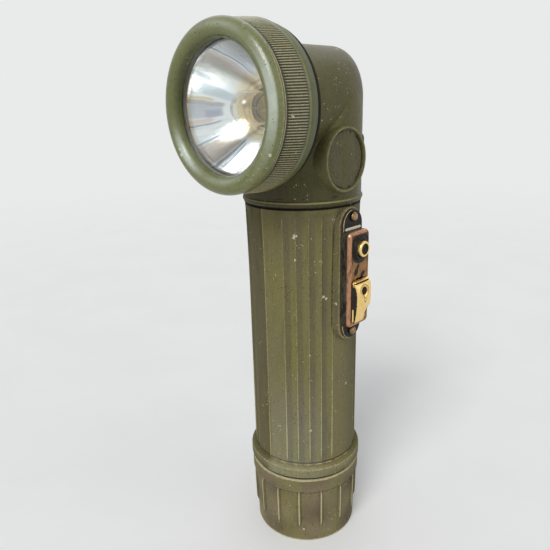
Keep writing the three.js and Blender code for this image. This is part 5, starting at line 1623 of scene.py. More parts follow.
    def marks(self, x: np.ndarray, y: np.ndarray, z: np.ndarray) -> Marks:
        """Worn edges and badge rim, a painted highlight on the collar bead, and painted shade in
        its creases and on the flange behind the ring.

        Args:
            x, y, z: the points' places, in millimetres.

        Returns:
            The numbers kept on the points.
        """
        reach, off_lens = np.hypot(x, y), np.hypot(x, z - LENS_AXIS)
        badge = np.hypot(y + self.badge_setback, z - self.badge_height)
        badge = np.where(x > 12, badge, 99.0)
        inner = self.badge_radius - self.badge_rim
        rear = self.flange_front - self.flange
        within = off_lens < self.flange_radius + 0.1
        on_flange = (off_lens > self.flange_radius - 0.8) * within * (-y > rear - 0.3) * (
            -y < self.flange_front + 0.3)
        return {
            "wear_and_highlight": most(
                0.7 * bell(badge, self.badge_radius - self.badge_rim / 2, 0.45),
                # A painted highlight along the collar bead's top, strongest towards one side.
                (0.72 + 0.36 * bell(np.arctan2(y, x), -0.8, 0.6)) * bell(z, self.foot + 1.8, 0.36)
                * (reach > 21.3),
                0.5 * ramp(z, 184, 187.2) * ramp(y, -21, -14),
                0.5 * bell(y, 16, 4) * bell(z, 184, 4), 0.3 * (badge < inner - 0.7)),
            # Painted shade in the badge's and the collar's creases; the flange's rim and rear are
            # painted dark as the shaded gap behind the ring.
            "grime_and_shade": most(
                0.35 * bell(badge, self.badge_radius + 0.6, 0.35),
                0.85 * bell(badge, inner - 0.35, 0.4), 0.9 * bell(z, self.foot + 0.1, 0.4),
                0.55 * bell(z, self.foot + 3.2, 0.35) * (reach > self.radius - 0.6),
                1.1 * on_flange, 0.6 * bell(y, -rear + 0.3, 0.6) * within),
            # Painted shade: the lower front below the badge, the front next to the flange, and a
            # patch higher up.
            "shade_and_mottle": most(
                0.55 * ramp(z, 156, 141) * (badge > 11.4) * ramp(y, 6, -8),
                0.25 * bell(y, -4, 5) * bell(z, 172, 9), 0.3 * ramp(y, -14, -19)),
            "panel": most(
                0.5 * ramp(z, 160, 140) * (badge > 11.2), 0.75 * (badge < inner),
                0.6 * bell(y, 8, 7) * bell(z, 178, 9)),
            "chips": most(0.8 * bell(badge, 7.0, 1.7), 0.6 * ramp(z, 184.5, 187.2))}


@dataclass
class Bezel(Assembly):
    """The screw ring in front: rounded lip, knurled grip and plain rear band."""

    rear: float = 21.7
    band_radius: float = 25.8
    grip_rear: float = 25.9
    grip_front: float = 35.8
    grip_rear_radius: float = 26.6
    grip_front_radius: float = 25.6
    groove: float = 0.3
    lip_centre: float = 36.7
    lip_radius: float = 22.91
    lip_round: float = 3.0
    thread: float = 22.5
    gasket: float = 24.15
    lens_front: float = 35.5
    ribs: int = 198
    rib_width: float = 0.62
    rib_length: float = 9.3

    def outline(self) -> Outline:
        """The ring's section, as (radius, distance in front).

        Returns:
            The points, as (radius, height).
        """
        mouth, seat = self.lip_radius - self.lip_round, self.lens_front + 0.3
        wide, narrow = self.grip_rear_radius, self.grip_front_radius
        first, last = wide - self.groove, narrow - self.groove
        return [
            (self.gasket + 0.3, self.rear), (self.band_radius - 0.35, self.rear),
            (self.band_radius, self.rear + 0.35), (self.band_radius + 0.35, self.rear + 2.6),
            (wide - 0.12, self.grip_rear - 0.5), (wide - 0.25, self.grip_rear - 0.1),
            (first, self.grip_rear + 0.1),
            *[(first + (last - first) * t, self.grip_rear + 0.1 + 9.0 * t)
              for t in np.linspace(0.1, 1, 8)],
            (narrow - 0.05, self.grip_front - 0.5), (narrow - 0.1, self.grip_front - 0.2),
            (narrow - 0.35, self.grip_front + 0.02),
            *arc((self.lip_radius, self.lip_centre), self.lip_round, -14, 178, 34),
            (mouth, self.lip_centre - 0.6), (mouth + 0.3, seat), (self.thread, seat),
            (self.thread, self.rear + 1.2), (self.gasket + 0.3, self.rear + 1.2)]

    def build(self) -> None:
        """Makes the ring with its grip ribs, then turns it to the lens axis."""
        kit = self.kit
        ring = combined("bezel_ring_dressed", lathe(self.outline(), 192))
        wide, narrow = self.grip_rear_radius, self.grip_front_radius
        kit.ribs.grow(ring, kit.bezel, Count=self.ribs, First_Angle=0.0,
                      Ring_Radius=(wide + narrow) / 2 - self.groove - 0.05,
                      Height=(self.grip_rear + self.grip_front) / 2 - 0.2,
                      Rib_Length=self.rib_length, Rib_Width=self.rib_width,
                      Rib_Depth=self.groove + 0.03,
                      Lean=-math.atan((wide - narrow) / (self.grip_front - self.grip_rear)))
        turn_to(ring, Axis.LENS, LENS_AXIS)
        dress(ring, "bezel", kit.bezel, ["bezel_ring"], self.marks, 40)

    def marks(self, x: np.ndarray, y: np.ndarray, z: np.ndarray) -> Marks:
        """Worn grip crests and lip edge, dirt and painted shade between the ribs, painted shade in
        the mouth and on the rear band, painted sheen.

        Args:
            x, y, z: the points' places, in millimetres.

        Returns:
            The numbers kept on the points.
        """
        front, rear, mouth = self.grip_front, self.grip_rear, self.lip_radius - self.lip_round
        ahead, reach = -y, np.hypot(x, z - LENS_AXIS)
        share = np.clip((ahead - rear) / (front - rear), 0, 1)
        proud = reach - (self.grip_rear_radius
                         + (self.grip_front_radius - self.grip_rear_radius) * share)
        on_grip = ramp(ahead, rear, rear + 0.3) * ramp(ahead, front, front - 0.4)
        lip = ramp(ahead, front + 0.2, front + 0.8)
        angle = np.degrees(np.arctan2(z - LENS_AXIS, x))

        def toward(middle: float, width: float) -> np.ndarray:
            """1 at an angle round the ring, falling off over a width, both in degrees."""
            return bell(np.mod(angle - middle + 180, 360) - 180, 0, width)

        return {
            "wear_and_highlight": most(
                on_grip * ramp(proud, -0.22, -0.02) * 0.8,
                on_grip * (0.95 * toward(100, 38) + 0.3 * toward(-62, 26)),
                0.95 * bell(ahead, front - 0.05, 0.4),
                0.6 * bell(ahead, front + 0.9, 0.7) * toward(10, 80),
                0.45 * bell(ahead, rear - 0.3, 0.3),
                0.62 * lip * bell(proud, -0.6, 0.9) * toward(200, 24),
                0.5 * lip * bell(proud, -1.4, 1.5) * toward(-48, 34),
                0.3 * lip * toward(78, 36)),
            "grime_and_shade": most(
                # Dirt and painted shade between the ribs, less on the grip's top; painted shade in
                # the crease before the lip, inside the mouth and at the rear edge.
                0.82 * on_grip * ramp(proud, -0.1, -0.28) * (1 - 0.75 * toward(104, 36))
                * (1 - 0.3 * toward(-62, 20)),
                0.75 * bell(ahead, front + 0.45, 0.3),
                0.5 * (reach < mouth + 0.25) * (ahead < self.lens_front + 0.5),
                bell(ahead, self.rear, 0.4)),
            # Painted shade: the lip's dark side and inner mouth, one side of the grip, and the
            # whole rear band.
            "shade_and_mottle": lip * (
                0.3 * toward(172, 34) + 0.4 * ramp(reach, 23.4, 25.4) * toward(150, 60)
                + 0.5 * ramp(reach, 21.4, 20.3) * toward(140, 50)
                + 0.4 * ramp(reach, 22.2, 21.2) * toward(0, 60))
            + 0.5 * on_grip * toward(-40, 30) + 0.9 * (ahead < rear - 0.4),
            "panel": 0.7 * on_grip - 0.3 * (ahead < rear),
            "chips": most(
                lip * most(0.74 * bell(proud, -0.7, 0.8) * toward(208, 16), 0.78 * toward(-50, 26)),
                0.85 * bell(ahead, front, 0.5)),
            # Painted sheen: pale blue-grey reflections on the grip's top and round the lip.
            "sheen": most(0.8 * on_grip * toward(96, 32), lip * most(
                1.1 * toward(8, 32) * ramp(reach, 22.4, 23.2) * ramp(reach, 25.5, 25.0),
                1.4 * toward(222, 20) * bell(reach, 21.4, 0.9),
                0.5 * toward(78, 26) * bell(reach, 23.8, 1.0),
                0.45 * toward(276, 30) * bell(reach, 21.4, 1.0)))}


@dataclass
class Optics(Assembly):
    """Lens, reflector and bulb, all on the lens axis."""

    lens_rear: float = 33.5
    lens_front: float = 35.5
    lens_radius: float = 22.0
    rim_front: float = 32.2
    sheet: float = 0.8
    mouth: float = 19.8
    focus: float = 5.9
    hole: float = 6.2
    sleeve: float = 3.0
    sleeve_radius: float = 7.05
    upstand: float = 1.2
    flange_front: float = 16.12
    flange_radius: float = 6.75
    bulb_height: float = 14.0
    dome: float = 5.5
    neck: float = 4.7
    shoulder: float = 5.2
    glass: float = 0.5

    def bowl(self, radius: float) -> float:
        """The bowl's distance in front at a radius."""
        vertex = self.rim_front - self.mouth ** 2 / (4 * self.focus)
        return vertex + radius ** 2 / (4 * self.focus)

    def build(self) -> None:
        """Makes the four pieces."""
        kit = self.kit
        radius, rear, front = self.lens_radius, self.lens_rear, self.lens_front
        lens = lathe([(0, rear), (radius - 0.2, rear), (radius, rear + 0.2), (radius, front - 0.3),
                      (radius - 0.3, front), (0, front)], 128)
        for shell, name, slot, finish in (
                (lens, "lens", Slot.LENS, kit.lens),
                (lathe(self.reflector(), 160), "reflector", Slot.MIRROR, kit.mirror),
                (lathe(self.bulb(), 48), "bulb_glass", Slot.BULB, kit.bulb)):
            piece = combined(f"{name}_dressed", shell.on_lens_axis())
            dress(piece, "lens_pack", finish, [name],
                  crease=40 if slot is Slot.MIRROR else 32)
        self.base()

    def reflector(self) -> Outline:
        """The section of the bowl with its rim and sleeve.

        Returns:
            The points, as (radius, distance in front).
        """
        step = self.bowl(self.hole) - self.sheet
        skin, rear = self.sleeve_radius + self.sheet, self.rim_front - self.sheet
        radii = np.linspace(self.mouth, self.hole, 40)
        outside = []
        for r in radii[::-1]:
            slope = r / (2 * self.focus)
            length = math.hypot(1, slope)
            spot = (r + slope / length * self.sheet, self.bowl(r) - self.sheet / length)
            if spot[0] > skin and spot[1] < rear:
                outside.append(spot)
        rise = self.bowl(skin) - self.sheet * math.hypot(1, skin / (2 * self.focus))
        crown = self.rim_front + self.upstand
        return [
            (self.lens_radius, self.rim_front), (self.mouth + 0.3, self.rim_front),
            (self.mouth + 0.3, crown), (self.mouth, crown),
            (self.mouth - 0.02, self.rim_front + 0.2), *[(r, self.bowl(r)) for r in radii[1:]],
            (self.hole, step), (self.sleeve_radius, step),
            (self.sleeve_radius, step - self.sleeve), (skin, step - self.sleeve), (skin, rise),
            *outside, (self.mouth + self.sheet, rear), (self.lens_radius, rear)]

    def bulb(self) -> Outline:
        """The section of the bulb's glass.

        Returns:
            The points, as (radius, distance in front).
        """
        rear, dome, wall = self.flange_front + 0.3, self.dome, self.glass
        centre = rear + self.bulb_height - dome
        return [
            (self.neck - wall, rear), (self.neck, rear), (self.shoulder, rear + 1.6),
            (dome, rear + 3.4),
            *arc((0, centre), dome, 0, 88, 14), (0.05, centre + dome),
            (0.05, centre + dome - wall), *arc((0, centre), dome - wall, 88, 0, 14),
            (dome - wall, rear + 3.4), (self.shoulder - wall, rear + 1.6)]

    def base(self) -> None:
        """Makes the bulb's metal base and the wires inside its glass."""
        kit = self.kit
        front, flange = self.flange_front, self.flange_radius
        back = front - 0.8
        posts = [bar(0.22, front - 0.2, front + 6.5, 10).placed(shift=(x, 0, 0))
                 for x in (-1.3, 1.3)]
        filament = bar(0.16, -1.4, 1.4, 10)
        filament.points = filament.points[:, [2, 1, 0]] + np.array([0, 0, front + 6.4])
        base = lathe([
            (0, 2.72), (1.2, 2.72), (2.2, 3.3), (2.4, 3.6), (2.4, 4.32), (4.4, 4.32),
            (self.neck, 4.7), (self.neck, back), (flange - 0.2, back), (flange, back + 0.2),
            (flange, front - 0.2), (flange - 0.2, front), (3.9, front), (3.6, front + 0.15),
            (0, front + 0.15)], 48)
        metal = combined("bulb_base_dressed", base.on_lens_axis(),
                         [wire.on_lens_axis() for wire in (*posts, filament.outward())])
        dress(metal, "lens_pack", kit.lamp, ["bulb_base"])


@dataclass
class SwitchUnit(Assembly):
    """The pressed cover with its rivets, the signal button and the slide switch."""

    back: float = 22.1
    front: float = 25.9
    sheet: float = 0.7
    half: float = 5.8
    tab_half: float = 5.3
    box_foot: float = 92.5
    box_top: float = 126.6
    foot: float = 86.8
    top: float = 133.7
    collar_radius: float = 4.1
    collar_face: float = 26.6
    button_radius: float = 2.75
    button_face: float = 28.0
    dish: float = 1.9
    spring_radius: float = 2.7
    slot: tuple[float, float] = (100.5, 110.3)
    slot_half: float = 2.0
    slide_foot: float = 94.2
    slide_top: float = 109.8
    slide_half: float = 4.6
    slide_corner: float = 1.2
    slide_back: float = 26.2
    slide_grid: tuple[int, int] = (71, 131)
    hump_half: float = 4.0
    stem: Triple = (1.7, 100.8, 104.0)
    profile: tuple[tuple[float, ...], tuple[float, ...]] = (
        (0, 0.03, 0.1, 0.25, 0.42, 0.6, 0.74, 0.85, 0.915, 0.93, 0.955, 0.968, 0.985, 1.0),
        (0.5, 0.9, 1.4, 2.05, 2.5, 2.66, 2.5, 2.1, 1.7, 0.7, 0.7, 1.2, 1.2, 0.9))

    def build(self) -> None:
        """Makes every piece of the switch."""
        self.cover()
        self.button()
        self.slide()
        self.rivets()

    def cover(self) -> None:
        """Makes the pressed cover: a box, two tabs and the button's collar."""
        kit = self.kit
        half, tab, inner, low = self.half, self.tab_half, self.half - self.sheet, self.back
        wide, face, front, under = (self.collar_radius, self.collar_face, self.front,
                                    self.front - self.sheet)
        box = pillow((-half, self.box_foot, half, self.box_top), 1.9, low, front, 1.2)
        tabs = pillow((-tab, self.foot, tab, self.top), tab - 0.05, low, low + self.sheet, 0.28)
        collar = lathe([
            (0, under), (wide + 0.5, under), (wide + 0.45, front - 0.02),
            (wide + 0.15, front + 0.1), (wide, front + 0.3),
            *arc((wide - 0.4, face - 0.4), 0.4, 0, 90, 5), (0, face)], 72)
        hole = bar(self.button_radius + 0.3, low, face + 1, 72)
        cuts = [block(inner, self.box_foot + self.sheet, self.box_top - self.sheet, low - 1,
                      under, 1.2),
                hole.placed(shift=(0, BUTTON_HEIGHT, 0)),
                block(self.slot_half, *self.slot, low, front + 1),
                *[bar(RIVET_HOLE, low - 1, front, 32).placed(shift=(0, h, 0))
                  for h in COVER_RIVETS]]
        cover = combined("switch_plate_dressed", box.placed(Axis.SWITCH),
                         [tabs.placed(Axis.SWITCH),
                          collar.placed(Axis.SWITCH, (0, BUTTON_HEIGHT, 0))],
                         [cut.placed(Axis.SWITCH) for cut in cuts])
        densify(cover, 0.42)
        dress(cover, "housing", kit.plate, ["switch_plate"], self.cover_marks, 35)

    def cover_marks(self, x: np.ndarray, y: np.ndarray, z: np.ndarray) -> Marks:
        """Black paint on the tabs and round the button, worn edges, dull copper above, painted
        highlights at the upper tab's foot and corner.

        Args:
            x, y, z: the points' places, in millimetres.

        Returns:
            The numbers kept on the points.
        """
        tab, top, face, wide = self.tab_half, self.box_top, x > 25, np.abs(y)
        button = np.hypot(y, z - BUTTON_HEIGHT)
        ends = most(ramp(z, top - 1.3, top - 0.7),
                    ramp(z, self.box_foot + 1.3, self.box_foot + 0.7))
        rim = most(ramp(wide, self.half - 1.3, self.half - 0.8), ends) * ramp(x, 24.4, 25.0)
        past = most(z - top, self.box_foot - z)
        on_tab = (x < self.back + self.sheet + 0.3) * ramp(past, -0.3, 0.1)
        tab_edge = np.hypot(y, z - np.clip(z, self.foot + tab, self.top - tab)) - tab

        def spot(at: tuple[float, float], size: tuple[float, float],
                 lean: float = 0.0) -> np.ndarray:
            """A soft round patch on the face: its place and size in y and z, and its lean."""
            across, up = y - at[0] - lean * (z - at[1]), z - at[1]
            return np.exp(-((across / size[0]) ** 2 + (up / size[1]) ** 2)) * face

        return {
            "paint": most(
                on_tab * ramp(tab_edge, -0.1, -0.35),
                ramp(button, 6.9 - 0.9 * (z < 118), 4.4) * ramp(y, -5.3, -4.0) * face
                * ramp(z, 126.2, 124.6),
                1.7 * spot((-2.1, 112.6), (1.0, 1.25), 0.2),
                1.6 * spot((-1.1, 114.4), (0.7, 0.7), 0.2),
                1.6 * spot((1.7, 111.2), (1.2, 0.9), 0.4)),
            "dull": 0.9 * ramp(z, 114, 118.5) + 0.5 * ramp(y, 4.0, 5.5) + 0.6 * on_tab,
            "edge": rim,
            "flank": ramp(x, 24.9, 24.5) * (1 - on_tab),
            "wear_and_highlight": most(
                # A painted highlight along the bend at the upper tab's foot, another on the box's
                # upper left corner and rim.
                1.35 * bell(z, top + 0.6, 0.55) * (x < 23.3) * ramp(wide, 5.4, 3.6),
                0.72 * bell(tab_edge, -0.12, 0.16) * on_tab * ramp(y, 2.0, -1.0),
                0.8 * spot((-5.6, 126.0), (1.2, 0.8)),
                0.62 * rim * ramp(z, 124.9, 126.3) * ramp(y, -2.6, -4.6))}

    def button(self) -> None:
        """Makes the dished button with its flange and pin, and its spring."""
        kit = self.kit
        radius, face, back = self.button_radius, self.button_face, self.front - self.sheet - 0.3
        outline = [
            (0, 19.8), (0.8, 19.8), (1.0, 20.0), (1.0, back - 0.6), (3.7, back - 0.6),
            (3.7, back), (radius - 0.05, back), (radius, back + 0.1),
            *[(radius, h) for h in np.linspace(25.4, face - 0.9, 5)],
            *arc((radius - 0.45, face - 0.45), 0.45, 0, 90, 7),
            *arc((self.dish + 0.12, face - 0.12), 0.12, 90, 170, 4),
            (self.dish - 0.1, face - 0.55), (self.dish - 0.35, face - 0.68),
            *[(r, face - 0.7) for r in (1.1, 0.6, 0)]]
        button = combined("push_button_dressed",
                          lathe(outline, 64).placed(Axis.SWITCH, (0, BUTTON_HEIGHT, 0)))
        dress(button, "signal_button", kit.brass, ["push_button"],
              self.button_marks)
        spring = wound("button_spring_dressed", kit.coil, Axis.SWITCH, BUTTON_HEIGHT, kit.spring,
                       Foot_Radius=self.spring_radius, Top_Radius=self.spring_radius,
                       Foot=20.65, Rise=3.1, Turns=3.0, Wire=0.5)
        dress(spring, "housing", kit.spring, ["button_spring"])
        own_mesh(spring)

    def button_marks(self, x: np.ndarray, y: np.ndarray, z: np.ndarray) -> Marks:
        """A bright rim round a dark dish.

        Args:
            x, y, z: the points' places, in millimetres.

        Returns:
            The numbers kept on the points.
        """
        reach, face = np.hypot(y, z - BUTTON_HEIGHT), self.button_face
        return {
            "wear_and_highlight": bell(reach, 2.4, 0.6) * (x > face - 1.0),
            "grime_and_shade": most(1.15 * ramp(reach, self.dish + 0.12, self.dish - 0.06) * (x > 24),
                          ramp(x, face - 1.25, face - 1.5))}

    def hump(self, along: np.ndarray) -> np.ndarray:
        """Half the hump's width, which grows towards its top."""
        return self.hump_half + 0.4 * ramp(along, 8.5, 14.0)

    def dimple(self, across: np.ndarray, along: np.ndarray) -> np.ndarray:
        """How far a place is from the drop-shaped dimple, which ends at 1.

        Args:
            across: places from side to side, in millimetres.
            along: places up the thumb piece, in millimetres.

        Returns:
            The distances.
        """
        width = 0.75 + 1.0 * ramp(along, 9.2, 11.8)
        height = np.where(along > 11.6, (along - 11.6) / 1.7, (11.6 - along) / 3.0)
        return np.hypot((across + 0.45) / width, height)

    def slide_relief(self, across: np.ndarray, along: np.ndarray) -> np.ndarray:
        """How far the thumb piece stands out of its back.

        Args:
            across: places from side to side, in millimetres from its middle.
            along: places up it, in millimetres from its foot.

        Returns:
            The relief in millimetres.
        """
        share = along / (self.slide_top - self.slide_foot)
        wide, edge = np.abs(across), self.slide_half
        rise = np.interp(share, *self.profile)
        half = self.hump(along)
        crown = 1 - 0.26 * np.clip(wide / half, 0, 1) ** 2.5
        rolled = ramp(share, 0.955, 0.968)
        side = most(ramp(wide, half + 0.2, half - 0.35), rolled * ramp(wide, edge, edge - 0.4))
        lip = 0.45 + 0.3 * ramp(wide, edge - 0.35, edge - 0.15)
        relief = lip + (rise * np.where(rolled > 0.5, 1.0, crown) - lip) * side
        hole = self.dimple(across, along)
        scoop = ramp(np.hypot((across - 3.2) / 3.4, (along - 2.2) / 4.2), 1.0, 0.25)
        ring, dent = bell(hole, 1.6, 0.25), 0.95 * ramp(hole, 1.05, 0.55)
        return np.maximum(relief - dent + 0.1 * ring - 1.25 * scoop, 0.3)

    def thumb(self) -> Shell:
        """The thumb piece as one relief with rounded corners, over a flat back.

        Returns:
            The closed shell, facing +Z.
        """
        length, corner, (wide, tall) = (self.slide_top - self.slide_foot, self.slide_corner,
                                        self.slide_grid)
        grid_u, grid_v = np.meshgrid(np.linspace(-1, 1, wide), np.linspace(-1, 1, tall))
        across, along = grid_u * self.slide_half, (grid_v + 1) / 2 * length
        over = np.clip(np.abs(across) - (self.slide_half - corner), 0, corner)
        up = np.clip(np.abs(along - length / 2) - (length / 2 - corner), 0, corner)
        reach = np.hypot(over, up)
        squeeze = np.where(reach > 1e-6, np.maximum(over, up) / np.maximum(reach, 1e-6), 1.0)
        across = np.sign(across) * (np.abs(across) - over * (1 - squeeze))
        middle = along - length / 2
        along = np.sign(middle) * (np.abs(middle) - up * (1 - squeeze)) + length / 2
        edge = ramp(np.minimum(1 - np.abs(grid_u), (1 - np.abs(grid_v)) * 2), 0, 0.05)
        across = across * (1 - 0.5 * ramp(along, 4.6, 0.2) * (across > 0))
        relief = 0.25 + (self.slide_relief(across, along) - 0.25) * edge
        face = np.stack([across, along + self.slide_foot, self.slide_back + relief], -1)
        back = face.copy()
        back[..., 2] = self.slide_back
        size = wide * tall
        quads: list[tuple[int, ...]] = []
        for i in range(tall - 1):
            for j in range(wide - 1):
                a = i * wide + j
                quads.append((a, a + 1, a + wide + 1, a + wide))
                quads.append((size + a, size + a + wide, size + a + wide + 1, size + a + 1))
        rim = [*range(wide), *[i * wide + wide - 1 for i in range(1, tall)],
               *[(tall - 1) * wide + j for j in range(wide - 2, -1, -1)],
               *[i * wide for i in range(tall - 2, 0, -1)]]
        quads += [(b, a, size + a, size + b) for a, b in zip(rim, rim[1:] + rim[:1])]
        return Shell(np.concatenate([face.reshape(-1, 3), back.reshape(-1, 3)]), quads)

    def slide(self) -> None:
        """Makes the thumb piece with its stem."""
        kit = self.kit
        half, low, high = self.stem
        stem = block(half, low, high, 23.0, self.slide_back + 0.2)
        slide = combined("slide_switch_dressed", self.thumb().placed(Axis.SWITCH),
                         [stem.placed(Axis.SWITCH)])
        dress(slide, "switch_slide", kit.brass, ["slide_switch"],
              self.slide_marks, 50)

    def slide_marks(self, x: np.ndarray, y: np.ndarray, z: np.ndarray) -> Marks:
        """Worn hump, painted shade beside it, in the slit, the dimple and the scoop, dark on its
        back, and rust where it is deep.

        Args:
            x, y, z: the points' places, in millimetres.

        Returns:
            The numbers kept on the points.
        """
        z = z - self.slide_foot
        hole, past = self.dimple(y, z), np.abs(y) - self.hump(z)
        wall = ramp(past, -0.3, -0.05) * ramp(past, 0.42, 0.3) * (z < 14.6)
        return {
            "wear_and_highlight": ramp(x, 26.9, 28.2),
            # Painted shade: the dimple's hollow and rim, the scoop, the hump's side walls and
            # valley, the slit at the top, and the back.
            "grime_and_shade": most(
                1.1 * ramp(hole, 0.98, 0.7) * ramp(z, 9.6, 10.6),
                0.75 * ramp(np.hypot((y - 2.9) / 1.5, (z - 3.4) / 2.4), 1.0, 0.4),
                wall * (0.5 + 0.5 * ramp(z, 14.0, 12.0)),
                0.8 * ramp(past, 0.2, 0.35) * ramp(z, 4.5, 6.0) * ramp(z, 12.5, 11.0),
                bell(z, 14.66, 0.28) * (np.abs(y) < 4.2), 0.62 * bell(hole, 1.3, 0.16),
                1.0 * (x < 26.3)),
            "rust": most(ramp(hole, 1.1, 0.8),
                         0.4 * ramp(np.hypot((y - 3.2) / 3.2, (z - 2.4) / 3.6), 1.0, 0.5))}

    def rivets(self) -> None:
        """Makes the cover's two domed rivets."""
        kit = self.kit
        seat = self.back + self.sheet + 0.3
        dome = [(1.62 * math.cos(a), seat + 1.1 * math.sin(a))
                for a in np.radians(np.linspace(0, 84, 12))]
        sample = lathe([(0, 19.0), (1.1, 19.0), (1.1, seat), *dome, (0, seat + 1.1)], 40)
        pair = rivet_pair("switch_rivets", sample.placed(Axis.SWITCH), kit.row, COVER_RIVETS,
                          kit.bronze)

        def marks(x: np.ndarray, y: np.ndarray, z: np.ndarray) -> Marks:
            """Worn domes, painted shade at their feet."""
            return {"wear_and_highlight": 0.7 * ramp(x, seat + 0.5, seat + 1.1),
                    "grime_and_shade": 0.85 * ramp(x, seat + 0.3, seat)}

        dress(pair, "housing", kit.bronze,
              ["switch_rivet_lower", "switch_rivet_upper"], marks)


@dataclass
class BeltClip(Assembly):
    """The black spring strip at the back, with its two rivets."""

    seat: float = 22.25
    sheet: float = 0.9
    width: float = 12.7
    top: float = 169.0
    pad_foot: float = 157.5
    hump: float = 28.65
    hump_foot: float = 145.8
    leaf: float = 22.7
    tip: float = 92.0
    flare: float = 2.2

    def build(self) -> None:
        """Makes the strip and its rivets."""
        kit = self.kit
        line = bent_line([
            (self.seat, self.top), (self.seat, self.pad_foot - 0.3),
            (self.hump, self.pad_foot - 1.4), (self.hump, self.hump_foot + 2.2),
            (self.leaf, self.hump_foot), (self.leaf, self.tip + 6),
            (self.leaf + self.flare, self.tip)], 1.8)
        clip = combined("belt_clip_dressed", strip(line, self.sheet, self.width, 0.3), [],
                        [bar(RIVET_HOLE, 20.5, 24, 24).placed(Axis.BACK, (0, h, 0))
                         for h in CLIP_RIVETS])
        dress(clip, "housing", kit.black, ["belt_clip"], self.marks)
        seat = self.seat + self.sheet / 2 + 0.3
        sample = lathe([
            (0, 17.75), (1.2, 17.75), (1.7, 18.0), (1.7, 18.3), (1.2, 18.3), (1.2, seat),
            (1.7, seat), (1.62, seat + 0.3), (1.2, seat + 0.62), (0.6, seat + 0.8),
            (0, seat + 0.85)], 32)
        pair = rivet_pair("clip_rivets", sample.placed(Axis.BACK), kit.row, CLIP_RIVETS, kit.black)

        def worn(x: np.ndarray, y: np.ndarray, z: np.ndarray) -> Marks:
            """Wear on the rivets' heads."""
            return {"wear_and_highlight": ramp(y, seat + 0.3, seat + 0.8)}

        dress(pair, "housing", kit.black,
              ["clip_rivet_lower", "clip_rivet_upper"], worn)

    def marks(self, x: np.ndarray, y: np.ndarray, z: np.ndarray) -> Marks:
        """Worn edges, hump and tip, and a little painted shade under its pad.

        Args:
            x, y, z: the points' places, in millimetres.

        Returns:
            The numbers kept on the points.
        """
        return {
            "wear_and_highlight": most(0.8 * ramp(np.abs(x), 5.9, 6.3), 0.7 * bell(z, self.tip, 3),
                         0.6 * ramp(y, 28.4, 29.1)),
            "grime_and_shade": 0.2 * bell(z, self.pad_foot, 2)}


@dataclass
class Cells(Assembly):
    """The two cells inside the tube, bare of words."""

    radius: float = 16.6
    length: float = 61.3
    feet: tuple[float, float] = (11.0, 72.6)

    def build(self) -> None:
        """Makes each cell with its crimped ends and its nub."""
        kit = self.kit
        r = self.radius
        for name, foot in zip(("lower_cell", "upper_cell"), self.feet):
            top = foot + self.length
            outline = [
                (0, foot + 0.3), (r - 3.5, foot + 0.3), (r - 2.6, foot), (r - 1.0, foot),
                *arc((r - 0.8, foot + 0.8), 0.8, -90, 0, 4), (r, top - 3.2), (r - 0.5, top - 2.7),
                (r - 0.5, top - 2.2), (r - 0.9, top - 1.6), (r - 2.4, top - 1.9),
                (5.6, top - 1.9), (4.7, top - 1.5), (4.7, top - 0.3), (4.4, top), (0, top)]
            cell = combined(f"{name}_dressed", lathe(outline, 96))
            dress(cell, "tail", kit.cell, [name])


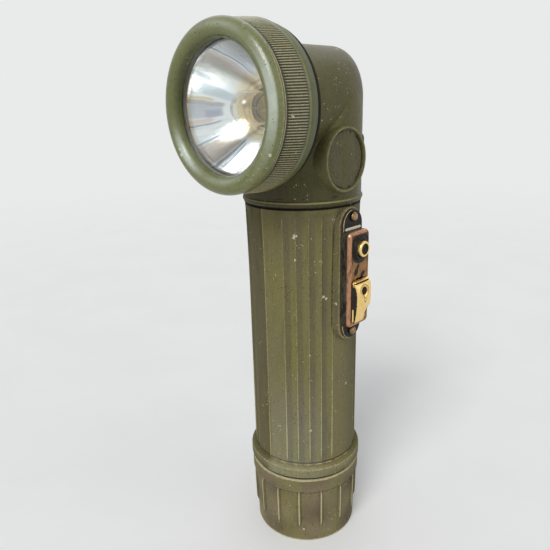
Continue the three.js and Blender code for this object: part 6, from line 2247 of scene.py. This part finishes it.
@dataclass
class Studio:
    """Floor, lamps, world and camera."""

    spot: Triple = (0.132593, -0.151903, 0.169631)
    ahead: Triple = (-0.66445796, 0.68418015, -0.30065452)
    right: Triple = (0.72277975, 0.6905957, -0.02582659)
    up: Triple = (-0.18996068, 0.23446769, 0.95338337)
    lens: float = 36.40
    pale: str = "#e9eaea"
    reach: float = 4.0
    fade: tuple[float, float] = (300.0, 1100.0)
    lamps: tuple[tuple[str, Triple, float, float], ...] = (
        ("key", (0.3, -0.8, 0.85), 1.66, 28.0),
        ("side", (0.95, 0.15, 0.45), 0.28, 60.0),
        ("back", (-0.5, 0.7, 0.8), 0.35, 60.0))

    def build(self) -> None:
        """Sets up everything around the object."""
        self.floor()
        self.world()
        for lamp in self.lamps:
            self.lamp(*lamp)
        self.camera()

    def floor(self) -> None:
        """A wide pale floor under the foot, that fades to the sky's tone far away."""
        r = self.reach
        data = bpy.data.meshes.new("floor")
        data.from_pydata([(-r, -r, 0), (r, -r, 0), (r, r, 0), (-r, r, 0)], [], [(0, 1, 2, 3)])
        plane = shown("floor", data)
        s = Shade("floor_pale")
        tone = s.blend(s.span(s.noise(60, 1, 4), 0.3, 0.7), "#f2f2f1", "#efefee")
        data.materials.append(s.finish(Base_Color=tone, Roughness=0.85, Specular_IOR_Level=0.1))
        away = s.add("ShaderNodeVectorMath", {0: s.place}, operation="LENGTH").outputs["Value"]
        far = s.times(s.span(away, *self.fade),
                      s.add("ShaderNodeLightPath").outputs["Is Camera Ray"])
        glow = s.out("ShaderNodeEmission", {"Color": self.pale, "Strength": 1.0})
        s.feed(s.end.inputs["Surface"],
               s.out("ShaderNodeMixShader", {0: far, 1: s.skin.outputs[0], 2: glow}))

    def world(self) -> None:
        """A pale even sky that cameras and reflections see as white."""
        world = bpy.data.worlds.new("studio")
        bpy.context.scene.world = world
        world.use_nodes = True
        sky = Nodes(world.node_tree)
        sky.tree.nodes.clear()
        rays = sky.add("ShaderNodeLightPath").outputs
        seen = sky.plus(sky.plus(rays["Is Camera Ray"], rays["Is Glossy Ray"]),
                        rays["Is Transmission Ray"])
        light, view = (sky.out("ShaderNodeBackground", {0: tone, 1: strength})
                       for tone, strength in (("#f4f7fa", 0.43), (self.pale, 1.0)))
        mix = sky.out("ShaderNodeMixShader", {0: seen, 1: light, 2: view})
        sky.add("ShaderNodeOutputWorld", {0: mix})

    def lamp(self, name: str, spot: Triple, strength: float, spread: float) -> None:
        """A soft far lamp whose light is even over the whole floor.

        Args:
            name: the lamp's name.
            spot: the direction that it shines from.
            strength: its strength.
            spread: how wide it looks, in degrees, which softens its shadows.
        """
        data = bpy.data.lights.new(name, "SUN")
        data.energy, data.angle = strength, math.radians(spread)
        lamp = shown(name, data)
        lamp.location = spot
        lamp.rotation_euler = (-Vector(spot)).to_track_quat("-Z", "Y").to_euler()

    def camera(self) -> None:
        """The photograph's own view."""
        data = bpy.data.cameras.new("camera")
        data.sensor_fit, data.sensor_width, data.lens = "HORIZONTAL", 36.0, self.lens
        data.clip_start, data.clip_end = 0.01, 20.0
        camera = shown("camera", data)
        columns = [Vector(self.right), Vector(self.up), -Vector(self.ahead), Vector(self.spot)]
        camera.matrix_world = Matrix([[c[i] for c in columns] for i in range(3)] + [[0, 0, 0, 1]])
        bpy.context.scene.camera = camera


def dress_frame(kit: Kit) -> None:
    """Gives every node that is kept from the frame its material.

    Args:
        kit: the finishes.
    """
    kept = {
        kit.contact: ("tail_contact", "centre_contact", "body_strip", "lamp_strip",
                          "slider_contact"),
        kit.rubber: ("tail_gasket", "head_gasket"), kit.fibre: ("contact_carrier",),
        kit.seal: ("lens_gasket",), kit.spring: ("bulb_retainer",)}
    for finish, names in kept.items():
        for name in names:
            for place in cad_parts[name].material_slots:
                place.link = "OBJECT"
                place.material = finish
            log.info("%s: kept, in %s", name, finish.name)


def main() -> None:
    """Builds the flashlight piece by piece round its frame."""
    logging.basicConfig(level=logging.INFO, format="%(name)s %(message)s")
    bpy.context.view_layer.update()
    bpy.context.scene.view_settings.view_transform = "Standard"
    kit = Kit()
    for part in (TailCap, BatteryTube, Head, Bezel, Optics, SwitchUnit, BeltClip, Cells):
        part(kit).build()
    dress_frame(kit)
    Studio().build()


if __name__ == "__main__":
    main()
